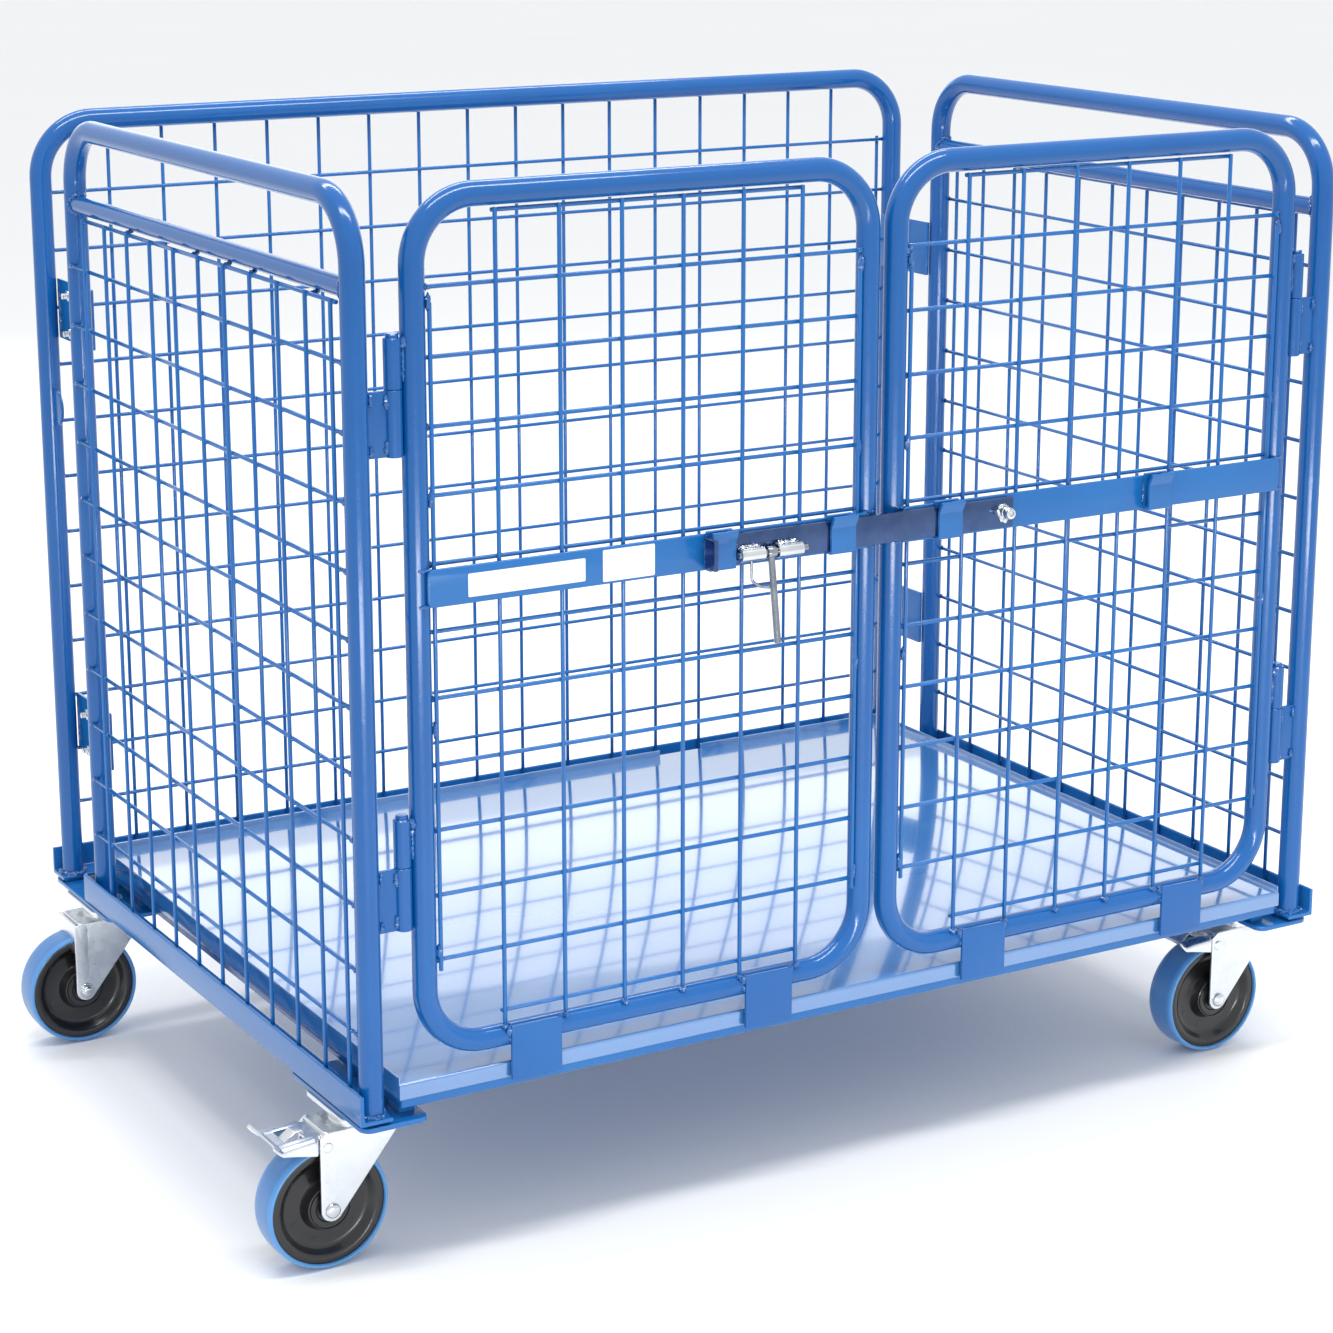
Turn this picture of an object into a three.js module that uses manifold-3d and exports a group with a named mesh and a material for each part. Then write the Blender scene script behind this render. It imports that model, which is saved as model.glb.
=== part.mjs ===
// Mesh-sided roll cage container: tube-and-mesh cage on a sheet deck with four swivel castors.
// Millimetres, +Z up. X runs along the length, the doors are on the -Y side.
// Everything is drawn from the left front post at X = 0, Y = 0, and centred at the end.
import * as THREE from 'three';
import { mergeVertices } from 'three/addons/utils/BufferGeometryUtils.js';
import Module from 'manifold-3d';

const wasm = await Module();
wasm.setup();

// ---------------------------------------------------------------- driving dimensions
const LENGTH = 1322;            // post to post along X
const SIDE_DEPTH = 822;         // post to post of one side panel
const BACK_Y = 949;             // plane of the back panel's posts
const TUBE_R = 14;
const TUBE_SIDES = 10;
const BEND_R = 72;              // centreline radius of every bent corner
const BEND_STEPS = 5;
const SIDE_TOP = 1221;          // centreline of the side panels' top tube
const BACK_TOP = 1217;
const RAIL_Z = 1126;            // lower rail of the push handle
const RAIL_R = 11.5;
const GRID_TOP = 1124;          // highest full horizontal wire
const PITCH = 75;
const WIRE = 5;                 // wire diameter, drawn square
const WIRE_DEPTH = 3.8;
const ANGLE_BOTTOM = 200;
const ANGLE_TOP = 236;
const ANGLE_T = 4.3;
const MESH_INNER = 14.3;        // mesh stands this far outside the posts' centres
const LEG_INNER = 18.3;
const LEG_OUTER = LEG_INNER + ANGLE_T;
const LEG_REACH = 17;           // how far the flat leg runs inwards past the post centre

const DECK = { x0: 28, x1: 1294, y0: -14, y1: 918, top: 238, sheet: 2, lip: 7.5, fold: 19 };
const FRAME_BOTTOM = 207.5;
const FRAME_INSET = 2.6;
const FRAME_RAIL = 40;
const PLATE = { x0: -20, x1: 63, length: 203, z0: 190, z1: 196, corner: 14 };

const DOOR_Y = -4;              // centre plane of the door tubes
const DOOR_SIDE = 66.3;         // post centre to door tube centre
const DOOR_WIDTH = 575.4;       // tube centre to tube centre
const DOOR_BOTTOM = 268;
const DOOR_TOP = 1218;
const DOOR_WIRES = 8;
const DOOR_INSET = 17.4;        // tube centre to the first upright wire
const DOOR_MESH_Y = [-13, -9.2];
const BAR = { z0: 779, z1: 821, y0: -23, y1: -18.2, inset: 4 };
const TAB = { width: 64, z0: 217, z1: 282, y0: -22, y1: -18.2, at: [98.7, 407.7] };
const HINGE_X = 42.2;
const HINGE_Z = [945, 415];     // bottom of each post bracket
const BRACKET_H = 72.5;
const KNUCKLE_H = 55;
const KNUCKLE_R = 9.9;
const PIN_R = 5;
const BORE_R = 5.5;

const KEEPER = { width: 33, t: 3.6, drop: 779.5, seat: 783.5, top: 820 };
const LATCH = { x0: 410, x1: 835, z0: 783.8, z1: 818.8, y0: -32, y1: -27, tab: 20 };
const BARREL = { y: -40.2, z: 795, r: 8, bore: 4.8, spans: [[451, 482], [500, 533]] };

const CASTOR = { x: 20, y: 81, offset: 48, axle: 75, height: 190 };
const WHEEL = { r: 75, width: 46, rim: 69, hub: 40, segments: 30 };
const FORK = { inner: 27, t: 4, top: 177, lead: 38, trail: 60, boss: 13.5 };

const BLUE = 0x3d78be;
const ZINC = 0xc4cacb;
const BLACK = 0x202124;
const TYRE = 0x5a96dc;

// ---------------------------------------------------------------- solid helpers
const group = new THREE.Group();
group.name = 'roll_cage_container';

function add(name, shape, color, metalness = 0.1, roughness = 0.35) {
  const geometry = asGeometry(shape);
  const material = new THREE.MeshStandardMaterial({ color, metalness, roughness });
  material.name = `${name}_material`;
  const mesh = new THREE.Mesh(geometry, material);
  mesh.name = name;
  group.add(mesh);
  return mesh;
}

function indexed(vertices, triangles) {
  const geometry = new THREE.BufferGeometry();
  geometry.setAttribute('position', new THREE.Float32BufferAttribute(vertices.flat(), 3));
  geometry.setIndex(triangles.flat());
  return geometry;
}

function toManifold(shape) {
  if (shape instanceof wasm.Manifold) return shape;
  const geometry = shape;
  const bare = new THREE.BufferGeometry();
  bare.setAttribute('position', geometry.getAttribute('position'));
  if (geometry.index) bare.setIndex(geometry.index);
  const merged = mergeVertices(bare, 1e-4);
  const mesh = new wasm.Mesh({
    numProp: 3,
    vertProperties: Float32Array.from(merged.getAttribute('position').array),
    triVerts: Uint32Array.from(merged.index.array),
  });
  return new wasm.Manifold(mesh);
}

function asGeometry(shape) {
  if (!(shape instanceof wasm.Manifold)) return shape;
  const mesh = shape.getMesh();
  const geometry = new THREE.BufferGeometry();
  geometry.setAttribute('position', new THREE.BufferAttribute(Float32Array.from(mesh.vertProperties), 3));
  geometry.setIndex(new THREE.BufferAttribute(Uint32Array.from(mesh.triVerts), 1));
  return geometry;
}

function join(...parts) {
  return parts.map(toManifold).reduce((a, b) => a.add(b));
}

function cut(base, ...tools) {
  return tools.map(toManifold).reduce((a, b) => a.subtract(b), toManifold(base));
}

function box(x0, x1, y0, y1, z0, z1) {
  const geometry = new THREE.BoxGeometry(x1 - x0, y1 - y0, z1 - z0);
  return geometry.translate((x0 + x1) / 2, (y0 + y1) / 2, (z0 + z1) / 2);
}

// Round bar or, with a bore, round tube between two heights along an axis.
function round(radius, from, to, axis, at, sides = TUBE_SIDES, bore = 0) {
  const profile = bore > 0
    ? [[bore, from], [radius, from], [radius, to], [bore, to], [bore, from]]
    : [[0, from], [radius, from], [radius, to], [0, to]];
  const points = profile.map(([r, h]) => new THREE.Vector2(r, h));
  const geometry = new THREE.LatheGeometry(points, sides);
  if (axis === 'z') geometry.rotateX(Math.PI / 2);
  if (axis === 'x') geometry.rotateZ(-Math.PI / 2);
  return geometry.translate(...at);
}

// Flat outline in X-Z, given thickness along Y.
function slabXZ(points, y0, y1) {
  const shape = new THREE.Shape(points.map(([x, z]) => new THREE.Vector2(x, z)));
  const geometry = new THREE.ExtrudeGeometry(shape, { depth: y1 - y0, bevelEnabled: false });
  return geometry.rotateX(Math.PI / 2).translate(0, y1, 0);
}

// Flat outline in Y-Z, given thickness along X.
function slabYZ(points, x0, x1) {
  const shape = new THREE.Shape(points.map(([y, z]) => new THREE.Vector2(y, z)));
  const geometry = new THREE.ExtrudeGeometry(shape, { depth: x1 - x0, bevelEnabled: false });
  return geometry.rotateX(Math.PI / 2).rotateZ(Math.PI / 2).translate(x0, 0, 0);
}

// Flat outline in X-Y, given thickness along Z.
function slabXY(points, z0, z1) {
  const shape = new THREE.Shape(points.map(([x, y]) => new THREE.Vector2(x, y)));
  const geometry = new THREE.ExtrudeGeometry(shape, { depth: z1 - z0, bevelEnabled: false });
  return geometry.translate(0, 0, z0);
}

function roundedRectangle(x0, x1, y0, y1, r, steps = 4) {
  const points = [];
  const centres = [[x1 - r, y1 - r, 0], [x0 + r, y1 - r, 90], [x0 + r, y0 + r, 180], [x1 - r, y0 + r, 270]];
  for (const [cx, cy, start] of centres) {
    for (let i = 0; i <= steps; i += 1) {
      const a = THREE.MathUtils.degToRad(start + (90 * i) / steps);
      points.push([cx + r * Math.cos(a), cy + r * Math.sin(a)]);
    }
  }
  return points;
}

// Corner points of a path in a (u, z) plane become a path with bent corners.
function bend(corners, radius, closed) {
  const points = [];
  const count = corners.length;
  corners.forEach(([u, z], i) => {
    if (!closed && (i === 0 || i === count - 1)) {
      points.push([u, z]);
      return;
    }
    const here = new THREE.Vector2(u, z);
    const before = new THREE.Vector2(...corners[(i + count - 1) % count]).sub(here).normalize();
    const after = new THREE.Vector2(...corners[(i + 1) % count]).sub(here).normalize();
    const centre = here.clone().addScaledVector(before, radius).addScaledVector(after, radius);
    for (let k = 0; k <= BEND_STEPS; k += 1) {
      const a = (Math.PI / 2) * (k / BEND_STEPS);
      const p = centre.clone();
      p.addScaledVector(after, -radius * Math.cos(a));
      p.addScaledVector(before, -radius * Math.sin(a));
      points.push([p.x, p.y]);
    }
  });
  return points;
}

// Round tube swept along a flat (u, z) path; place(u, offset, z) puts it in space.
function sweepTube(path, radius, closed, place) {
  const vertices = [];
  const triangles = [];
  const count = path.length;
  const n = TUBE_SIDES;
  path.forEach(([u, z], i) => {
    const here = new THREE.Vector2(u, z);
    const prev = closed || i > 0 ? new THREE.Vector2(...path[(i + count - 1) % count]) : null;
    const next = closed || i < count - 1 ? new THREE.Vector2(...path[(i + 1) % count]) : null;
    const into = prev ? here.clone().sub(prev).normalize() : next.clone().sub(here).normalize();
    const out = next ? next.clone().sub(here).normalize() : into;
    const side = new THREE.Vector2(-(into.y + out.y), into.x + out.x).normalize();
    const mitre = 1 / Math.max(0.5, side.dot(new THREE.Vector2(-into.y, into.x)));
    for (let k = 0; k < n; k += 1) {
      const a = (2 * Math.PI * (k + 0.5)) / n;
      const r = radius * Math.cos(a) * mitre;
      vertices.push(place(u + side.x * r, radius * Math.sin(a), z + side.y * r));
    }
  });
  const rings = closed ? count : count - 1;
  for (let i = 0; i < rings; i += 1) {
    const a = i * n;
    const b = ((i + 1) % count) * n;
    for (let k = 0; k < n; k += 1) {
      const m = (k + 1) % n;
      triangles.push([a + k, b + k, b + m], [a + k, b + m, a + m]);
    }
  }
  if (!closed) {
    const last = (count - 1) * n;
    for (let k = 1; k < n - 1; k += 1) {
      triangles.push([0, k, k + 1], [last, last + k + 1, last + k]);
    }
  }
  return outward(indexed(vertices, triangles));
}

// Signed volume decides whether the triangles have to be turned over.
function outward(geometry) {
  const p = geometry.getAttribute('position');
  const index = geometry.index.array;
  const [a, b, c] = [new THREE.Vector3(), new THREE.Vector3(), new THREE.Vector3()];
  let volume = 0;
  for (let i = 0; i < index.length; i += 3) {
    a.fromBufferAttribute(p, index[i]);
    b.fromBufferAttribute(p, index[i + 1]);
    c.fromBufferAttribute(p, index[i + 2]);
    volume += a.dot(b.cross(c));
  }
  if (volume < 0) {
    for (let i = 0; i < index.length; i += 3) {
      const keep = index[i + 1];
      index[i + 1] = index[i + 2];
      index[i + 2] = keep;
    }
  }
  return geometry;
}

// Welded mesh as one flat lattice. Uprights are [u, z0, z1], levels are [z, u0, u1].
function lattice(uprights, levels, depth0, depth1, place) {
  const half = WIRE / 2;
  const rects = [
    ...uprights.map(([u, z0, z1]) => [u - half, u + half, z0, z1]),
    ...levels.map(([z, u0, u1]) => [u0, u1, z - half, z + half]),
  ];
  const tidy = (values) => {
    const sorted = [...values].sort((a, b) => a - b);
    return sorted.filter((v, i) => i === 0 || v - sorted[i - 1] > 0.01);
  };
  const us = tidy(rects.flatMap((r) => [r[0], r[1]]));
  const zs = tidy(rects.flatMap((r) => [r[2], r[3]]));
  const filled = (i, j) => {
    if (i < 0 || j < 0 || i >= us.length - 1 || j >= zs.length - 1) return false;
    const u = (us[i] + us[i + 1]) / 2;
    const z = (zs[j] + zs[j + 1]) / 2;
    return rects.some((r) => u > r[0] && u < r[1] && z > r[2] && z < r[3]);
  };
  const vertices = [];
  const known = new Map();
  const vertex = (i, j, side) => {
    const key = `${i}/${j}/${side}`;
    if (!known.has(key)) {
      known.set(key, vertices.length);
      vertices.push(place(us[i], side ? depth1 : depth0, zs[j]));
    }
    return known.get(key);
  };
  const triangles = [];
  const quad = (a, b, c, d) => triangles.push([a, b, c], [a, c, d]);
  for (let i = 0; i < us.length - 1; i += 1) {
    for (let j = 0; j < zs.length - 1; j += 1) {
      if (!filled(i, j)) continue;
      const low = [vertex(i, j, 0), vertex(i + 1, j, 0), vertex(i + 1, j + 1, 0), vertex(i, j + 1, 0)];
      const high = [vertex(i, j, 1), vertex(i + 1, j, 1), vertex(i + 1, j + 1, 1), vertex(i, j + 1, 1)];
      quad(...low);
      quad(high[3], high[2], high[1], high[0]);
      if (!filled(i, j - 1)) quad(low[1], low[0], high[0], high[1]);
      if (!filled(i + 1, j)) quad(low[2], low[1], high[1], high[2]);
      if (!filled(i, j + 1)) quad(low[3], low[2], high[2], high[3]);
      if (!filled(i - 1, j)) quad(low[0], low[3], high[3], high[0]);
    }
  }
  return outward(indexed(vertices, triangles));
}

function range(count, start, step) {
  return Array.from({ length: count }, (_, i) => start + i * step);
}

// ---------------------------------------------------------------- deck and underframe
function deckTray() {
  const { x0, x1, y0, y1, top, sheet, lip, fold } = DECK;
  const notch = [903, 973];
  const body = box(x0, x1, y0, y1, top - fold, top + lip);
  const above = box(x0 + sheet, x1 - sheet, y0 - 1, y1 - sheet, top, top + lip + 1);
  const below = box(x0 + sheet, x1 - sheet, y0 + sheet, y1 - sheet, top - fold - 1, top - sheet);
  const frontLip = box(x0 - 1, x1 + 1, y0 - 1, y0 + 6, top, top + lip + 1);
  const gap = box(...notch, y1 - sheet - 1, y1 + 1, top, top + lip + 1);
  return cut(body, above, below, frontLip, gap);
}
add('deck_tray', deckTray(), BLUE);

function underframe() {
  const { x0, x1, y0, y1, top, sheet, fold } = DECK;
  const [a, b] = [x0 + FRAME_INSET, x1 - FRAME_INSET];
  const [c, d] = [y0 + FRAME_INSET, y1 - FRAME_INSET];
  const bays = 3;
  const bay = (b - a - FRAME_RAIL * (bays + 1)) / bays;
  const openings = range(bays, a + FRAME_RAIL, bay + FRAME_RAIL)
    .map((x) => box(x, x + bay, c + FRAME_RAIL, d - FRAME_RAIL, FRAME_BOTTOM - 1, top));
  let solid = cut(box(a, b, c, d, FRAME_BOTTOM, top - sheet - 0.2), ...openings);
  const ends = [
    { from: -20, blocks: [[6, 36], [127, 157]], pads: [[6, 36], [127, 157]] },
    { from: 969 - PLATE.length, blocks: [[792, 822], [876, 906]], pads: [[792, 822], [938, 960]] },
  ];
  for (const mirrored of [false, true]) {
    const flip = (lo, hi) => (mirrored ? [LENGTH - hi, LENGTH - lo] : [lo, hi]);
    for (const { from, blocks, pads } of ends) {
      const outline = roundedRectangle(...flip(PLATE.x0, PLATE.x1), from, from + PLATE.length, PLATE.corner);
      solid = join(
        solid,
        slabXY(outline, PLATE.z0, PLATE.z1),
        ...blocks.map((span) => box(...flip(36, 56), ...span, PLATE.z1 - 1, FRAME_BOTTOM + 2)),
        ...pads.map((span) => box(...flip(-14, 12), ...span, PLATE.z1 - 1, ANGLE_BOTTOM)),
      );
    }
  }
  return solid;
}
add('underframe', underframe(), BLUE);

// ---------------------------------------------------------------- fixed panels
// A side panel is drawn on the left; the right one is the same panel turned half round.
function sidePlace(right) {
  if (!right) return (y, out, z) => [-out, y, z];
  return (y, out, z) => [LENGTH + out, SIDE_DEPTH - y, z];
}

function turnSide(geometry, right) {
  if (!right) return geometry;
  return geometry.rotateZ(Math.PI).translate(LENGTH, SIDE_DEPTH, 0);
}

function panelAngle(from, to) {
  const upright = box(-LEG_OUTER, -LEG_INNER, from, to, ANGLE_BOTTOM, ANGLE_TOP);
  const flat = box(-LEG_OUTER, LEG_REACH, from, to, ANGLE_BOTTOM, ANGLE_BOTTOM + ANGLE_T);
  return join(upright, flat);
}

function sidePanel(prefix, right) {
  const place = sidePlace(right);
  const foot = ANGLE_BOTTOM + ANGLE_T;
  const path = bend([[0, foot], [0, SIDE_TOP], [SIDE_DEPTH, SIDE_TOP], [SIDE_DEPTH, foot]], BEND_R, false);
  add(`${prefix}_panel_tube`, sweepTube(path, TUBE_R, false, place), BLUE);

  const clear = TUBE_R + 0.2;
  const rail = [[clear, RAIL_Z], [SIDE_DEPTH - clear, RAIL_Z]];
  add(`${prefix}_panel_rail`, sweepTube(rail, RAIL_R, false, place), BLUE);

  const firstWire = 21;
  const lastStub = SIDE_DEPTH - 6;
  const under = RAIL_Z - RAIL_R - WIRE / 2 - 0.3;
  const lowest = ANGLE_BOTTOM + ANGLE_T + 0.3;
  const upright = [firstWire, ...range(10, 86, 74.5)];
  const uprights = upright.map((y) => [y, lowest, under + WIRE / 2]);
  const heights = [...range(11, GRID_TOP - 11 * PITCH, PITCH)];
  const levels = heights.map((z) => [z, 6, lastStub]);
  levels.push([under, firstWire - WIRE / 2, upright.at(-1) + WIRE / 2]);
  const mesh = lattice(uprights, levels, MESH_INNER, MESH_INNER + WIRE_DEPTH, place);
  add(`${prefix}_panel_mesh`, mesh, BLUE);

  const angle = asGeometry(panelAngle(-20, SIDE_DEPTH + 22));
  add(`${prefix}_panel_angle`, turnSide(angle, right), BLUE);
}

function backPanel() {
  const place = (x, out, z) => [x, BACK_Y + out, z];
  const foot = ANGLE_BOTTOM + ANGLE_T;
  const path = bend([[0, foot], [0, BACK_TOP], [LENGTH, BACK_TOP], [LENGTH, foot]], BEND_R, false);
  const tube = sweepTube(path, TUBE_R, false, place);
  add('back_panel_tube', join(tube, padlockLug()), BLUE);

  const lowest = foot + 0.3;
  const edge = 16;
  const inner = range(16, 98.5, PITCH).map((x) => [x, lowest, BACK_TOP - 3]);
  const outer = [edge, LENGTH - edge].map((x) => [x, lowest, GRID_TOP + WIRE / 2]);
  const uprights = [...outer, ...inner];
  const levels = range(12, GRID_TOP - 11 * PITCH, PITCH).map((z) => [z, 6, LENGTH - 6]);
  const mesh = lattice(uprights, levels, MESH_INNER, MESH_INNER + WIRE_DEPTH, place);
  add('back_panel_mesh', mesh, BLUE);

  const leg = box(-20, LENGTH + 20, BACK_Y + LEG_INNER, BACK_Y + LEG_OUTER, ANGLE_BOTTOM, ANGLE_TOP);
  const flat = box(-20, LENGTH + 20, BACK_Y - LEG_REACH, BACK_Y + LEG_OUTER, ANGLE_BOTTOM, foot);
  add('back_panel_angle', join(leg, flat), BLUE);
}

// D-shaped eye standing forward of the back left post.
function padlockLug() {
  const outline = [];
  const centre = 848;
  const reach = 34;
  outline.push([BACK_Y - 8, centre + 24], [BACK_Y - 8, centre - 24]);
  for (let i = 0; i <= 8; i += 1) {
    const a = THREE.MathUtils.degToRad(-90 + (180 * i) / 8);
    outline.push([BACK_Y - 8 - (reach - 12) * Math.cos(a) - 4, centre + 24 * Math.sin(a)]);
  }
  const plate = slabYZ(outline, -2, 2);
  const hole = round(6, -4, 4, 'x', [0, BACK_Y - 22, centre]);
  return cut(plate, hole);
}

sidePanel('left', false);
sidePanel('right', true);
backPanel();

// Flat plates that bolt a side panel's rear post to the back panel's post.
function panelBracket(z0, right) {
  const inset = 11;
  const [y0, y1] = [SIDE_DEPTH + 3, BACK_Y - 3];
  const outline = [[y0, z0], [y1, z0], [y1, z0 + 78], [y0, z0 + 78]];
  const plate = right
    ? slabYZ(outline, LENGTH - inset - 8.5, LENGTH - inset - 3.6)
    : slabYZ(outline, inset + 3.6, inset + 8.5);
  const holes = [z0 + 14, z0 + 63].map((z) => (
    round(5, -30, 30, 'x', [right ? LENGTH - inset : inset, (y0 + y1) / 2, z])
  ));
  return cut(plate, ...holes);
}
for (const [side, right] of [['left', false], ['right', true]]) {
  add(`${side}_upper_panel_bracket`, panelBracket(937, right), BLUE);
  add(`${side}_lower_panel_bracket`, panelBracket(378, right), BLUE);
}

// ---------------------------------------------------------------- doors
function door(prefix, right) {
  const flip = (x) => (right ? LENGTH - x : x);
  const span = (a, b) => (right ? [LENGTH - b, LENGTH - a] : [a, b]);
  const place = (x, out, z) => [flip(x), DOOR_Y + out, z];
  const x0 = DOOR_SIDE;
  const x1 = DOOR_SIDE + DOOR_WIDTH;

  const corners = [[x0, DOOR_BOTTOM], [x1, DOOR_BOTTOM], [x1, DOOR_TOP], [x0, DOOR_TOP]];
  const loop = sweepTube(bend(corners, BEND_R, true), TUBE_R, true, place);
  const tabs = TAB.at.map((at) => (
    box(...span(x0 + at, x0 + at + TAB.width), TAB.y0, TAB.y1 + 2.4, TAB.z0, TAB.z1)
  ));
  add(`${prefix}_door_tube`, join(loop, ...tabs), BLUE);

  const first = x0 + DOOR_INSET;
  const step = (DOOR_WIDTH - 2 * DOOR_INSET) / (DOOR_WIRES - 1);
  const heights = range(11, GRID_TOP - 10 * PITCH, PITCH);
  const [low, high] = [heights[0] - PITCH, GRID_TOP + PITCH + 1];
  const uprights = range(DOOR_WIRES, first, step).map((x, i) => {
    const edge = i === 0 || i === DOOR_WIRES - 1;
    if (edge) return [x, heights[0] - WIRE / 2, GRID_TOP + WIRE / 2];
    return [x, low - 17, high + WIRE / 2];
  });
  const stub = DOOR_INSET - 13.3;
  const levels = heights.map((z) => [z, first - stub, x1 - DOOR_INSET + stub]);
  for (const z of [low, high]) levels.push([z, first + step - WIRE / 2, x1 - DOOR_INSET - step + WIRE / 2]);
  const flat = (x, y, z) => [flip(x), y, z];
  add(`${prefix}_door_mesh`, lattice(uprights, levels, ...DOOR_MESH_Y, flat), BLUE);

  const ends = span(x0 + BAR.inset, x1 - BAR.inset);
  const outline = roundedRectangle(...ends, BAR.z0, BAR.z1, 6, 2);
  add(`${prefix}_door_bar`, slabXZ(outline, BAR.y0, BAR.y1), BLUE);

  HINGE_Z.forEach((z, i) => {
    const at = [flip(HINGE_X), DOOR_Y, 0];
    const top = z + BRACKET_H;
    const level = i === 0 ? 'upper' : 'lower';
    const sleeve = round(KNUCKLE_R, top + 0.5, top + 0.5 + KNUCKLE_H, 'z', at, 10, BORE_R);
    add(`${prefix}_${level}_hinge_sleeve`, sleeve, BLUE);
    const post = join(
      round(KNUCKLE_R, z, top, 'z', at, 10),
      round(PIN_R, top - 1, top + KNUCKLE_H - 6, 'z', at, 10),
      box(...span(13.7, HINGE_X - 4), DOOR_Y - 2.5, DOOR_Y + 2.5, z, top),
    );
    add(`${prefix}_${level}_hinge_bracket`, post, BLUE);
  });
}
door('left', false);
door('right', true);

// Open-topped hooks that carry the latch bar.
function keeper(x) {
  const back = BAR.y0;
  const front = LATCH.y0 - 0.6;
  const { t, drop, seat, top } = KEEPER;
  const outline = [
    [back - 0.1, drop], [front - t, drop], [front - t, top - 8], [front - t - 6, top + 4],
    [front - t - 3, top + 6], [front, top - 7], [front, seat], [back - t, seat],
    [back - t, top - 6], [back - 0.1, top - 6],
  ];
  return slabYZ(outline, x - KEEPER.width / 2, x + KEEPER.width / 2);
}
[432, 593, 743, 1053].forEach((x, i) => add(`latch_keeper_${i + 1}`, keeper(x), BLUE));

function latchBar() {
  const { x0, x1, z0, z1, y0, y1, tab } = LATCH;
  const parts = [
    box(x0, x1, y0, y1, z0, z1),
    box(x0, x0 + 5, y0 - tab, y0 + 1, z0, z1),
    round(6, -18, 1, 'y', [x1 - 15, y0, 803], 12),
  ];
  for (const [a, b] of BARREL.spans) {
    parts.push(box(a, b, y0 - 2.5, y0 + 1, BARREL.z - 5, BARREL.z + 5));
  }
  let solid = join(...parts);
  for (const [a, b] of BARREL.spans) {
    const outer = round(BARREL.r, a, b, 'x', [0, BARREL.y, BARREL.z]);
    const bore = round(BARREL.bore, a - 1, b + 1, 'x', [0, BARREL.y, BARREL.z]);
    solid = cut(join(solid, outer), bore);
  }
  return solid;
}
add('latch_bar', latchBar(), ZINC, 0.9, 0.35);

function latchLever() {
  const [a, b] = [BARREL.spans[0][0] - 2, BARREL.spans[1][1] + 8];
  const pin = round(4.2, a, b, 'x', [0, BARREL.y, BARREL.z]);
  const handle = round(4, -104, 3, 'z', [0, 0, 0], 12);
  handle.rotateX(THREE.MathUtils.degToRad(-9)).translate(491.5, BARREL.y, BARREL.z);
  return join(pin, handle);
}
add('latch_lever', latchLever(), ZINC, 0.9, 0.35);

// ---------------------------------------------------------------- castors
function castorPlate(x, y) {
  const top = CASTOR.height;
  const plate = slabXY(roundedRectangle(x - 42.5, x + 42.5, y - 52.5, y + 52.5, 8, 3), top - 6, top);
  return join(plate, round(35, FORK.top + 0.3, top - 5, 'z', [x, y, 0], 14));
}

function castorFork(x, y) {
  const { inner, t, top, lead, trail, boss } = FORK;
  const cx = x - CASTOR.offset;
  const outline = [];
  for (let i = 0; i <= 6; i += 1) {
    const a = THREE.MathUtils.degToRad(180 + (150 * i) / 6);
    outline.push([cx + boss * Math.cos(a), CASTOR.axle + boss * Math.sin(a)]);
  }
  outline.push([x + lead, top - 16], [x + lead - 4, top - 7], [x - trail + 6, top - 7], [x - trail, top - 13]);
  const legs = [[-inner - t, -inner], [inner, inner + t]].map(([a, b]) => slabXZ(outline, y + a, y + b));
  const crown = box(x - 38, x + lead - 4, y - inner - 1, y + inner + 1, top - 13, top - 7);
  const head = round(33, top - 8, top, 'z', [x, y, 0], 14);
  const bores = round(6.2, y - 40, y + 40, 'y', [cx, 0, CASTOR.axle], 12);
  return cut(join(...legs, crown, head), bores);
}

function castorAxle(x, y) {
  const at = [x - CASTOR.offset, 0, CASTOR.axle];
  const end = FORK.inner + FORK.t;
  return join(
    round(6, y - end - 1, y + end + 1, 'y', at, 12),
    round(9.5, y - end - 7, y - end - 0.1, 'y', at, 10),
    round(9.5, y + end + 0.1, y + end + 7, 'y', at, 6),
  );
}

function wheelSolid(profile, x, y) {
  const points = [...profile, profile[0]].map(([r, h]) => new THREE.Vector2(r, h));
  const geometry = new THREE.LatheGeometry(points, WHEEL.segments);
  return geometry.translate(x - CASTOR.offset, y, CASTOR.axle);
}

function castorHub(x, y) {
  const half = WHEEL.hub / 2;
  return wheelSolid([
    [6.3, -24], [25, -24], [WHEEL.rim, -half], [WHEEL.rim, half], [25, 24], [6.3, 24],
  ], x, y);
}

function castorTyre(x, y) {
  const half = WHEEL.width / 2;
  const { r, rim } = WHEEL;
  return wheelSolid([[rim, -half + 1], [r - 3, -half], [r, -half + 6], [r, half - 6], [r - 3, half], [rim, half - 1]], x, y);
}

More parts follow.
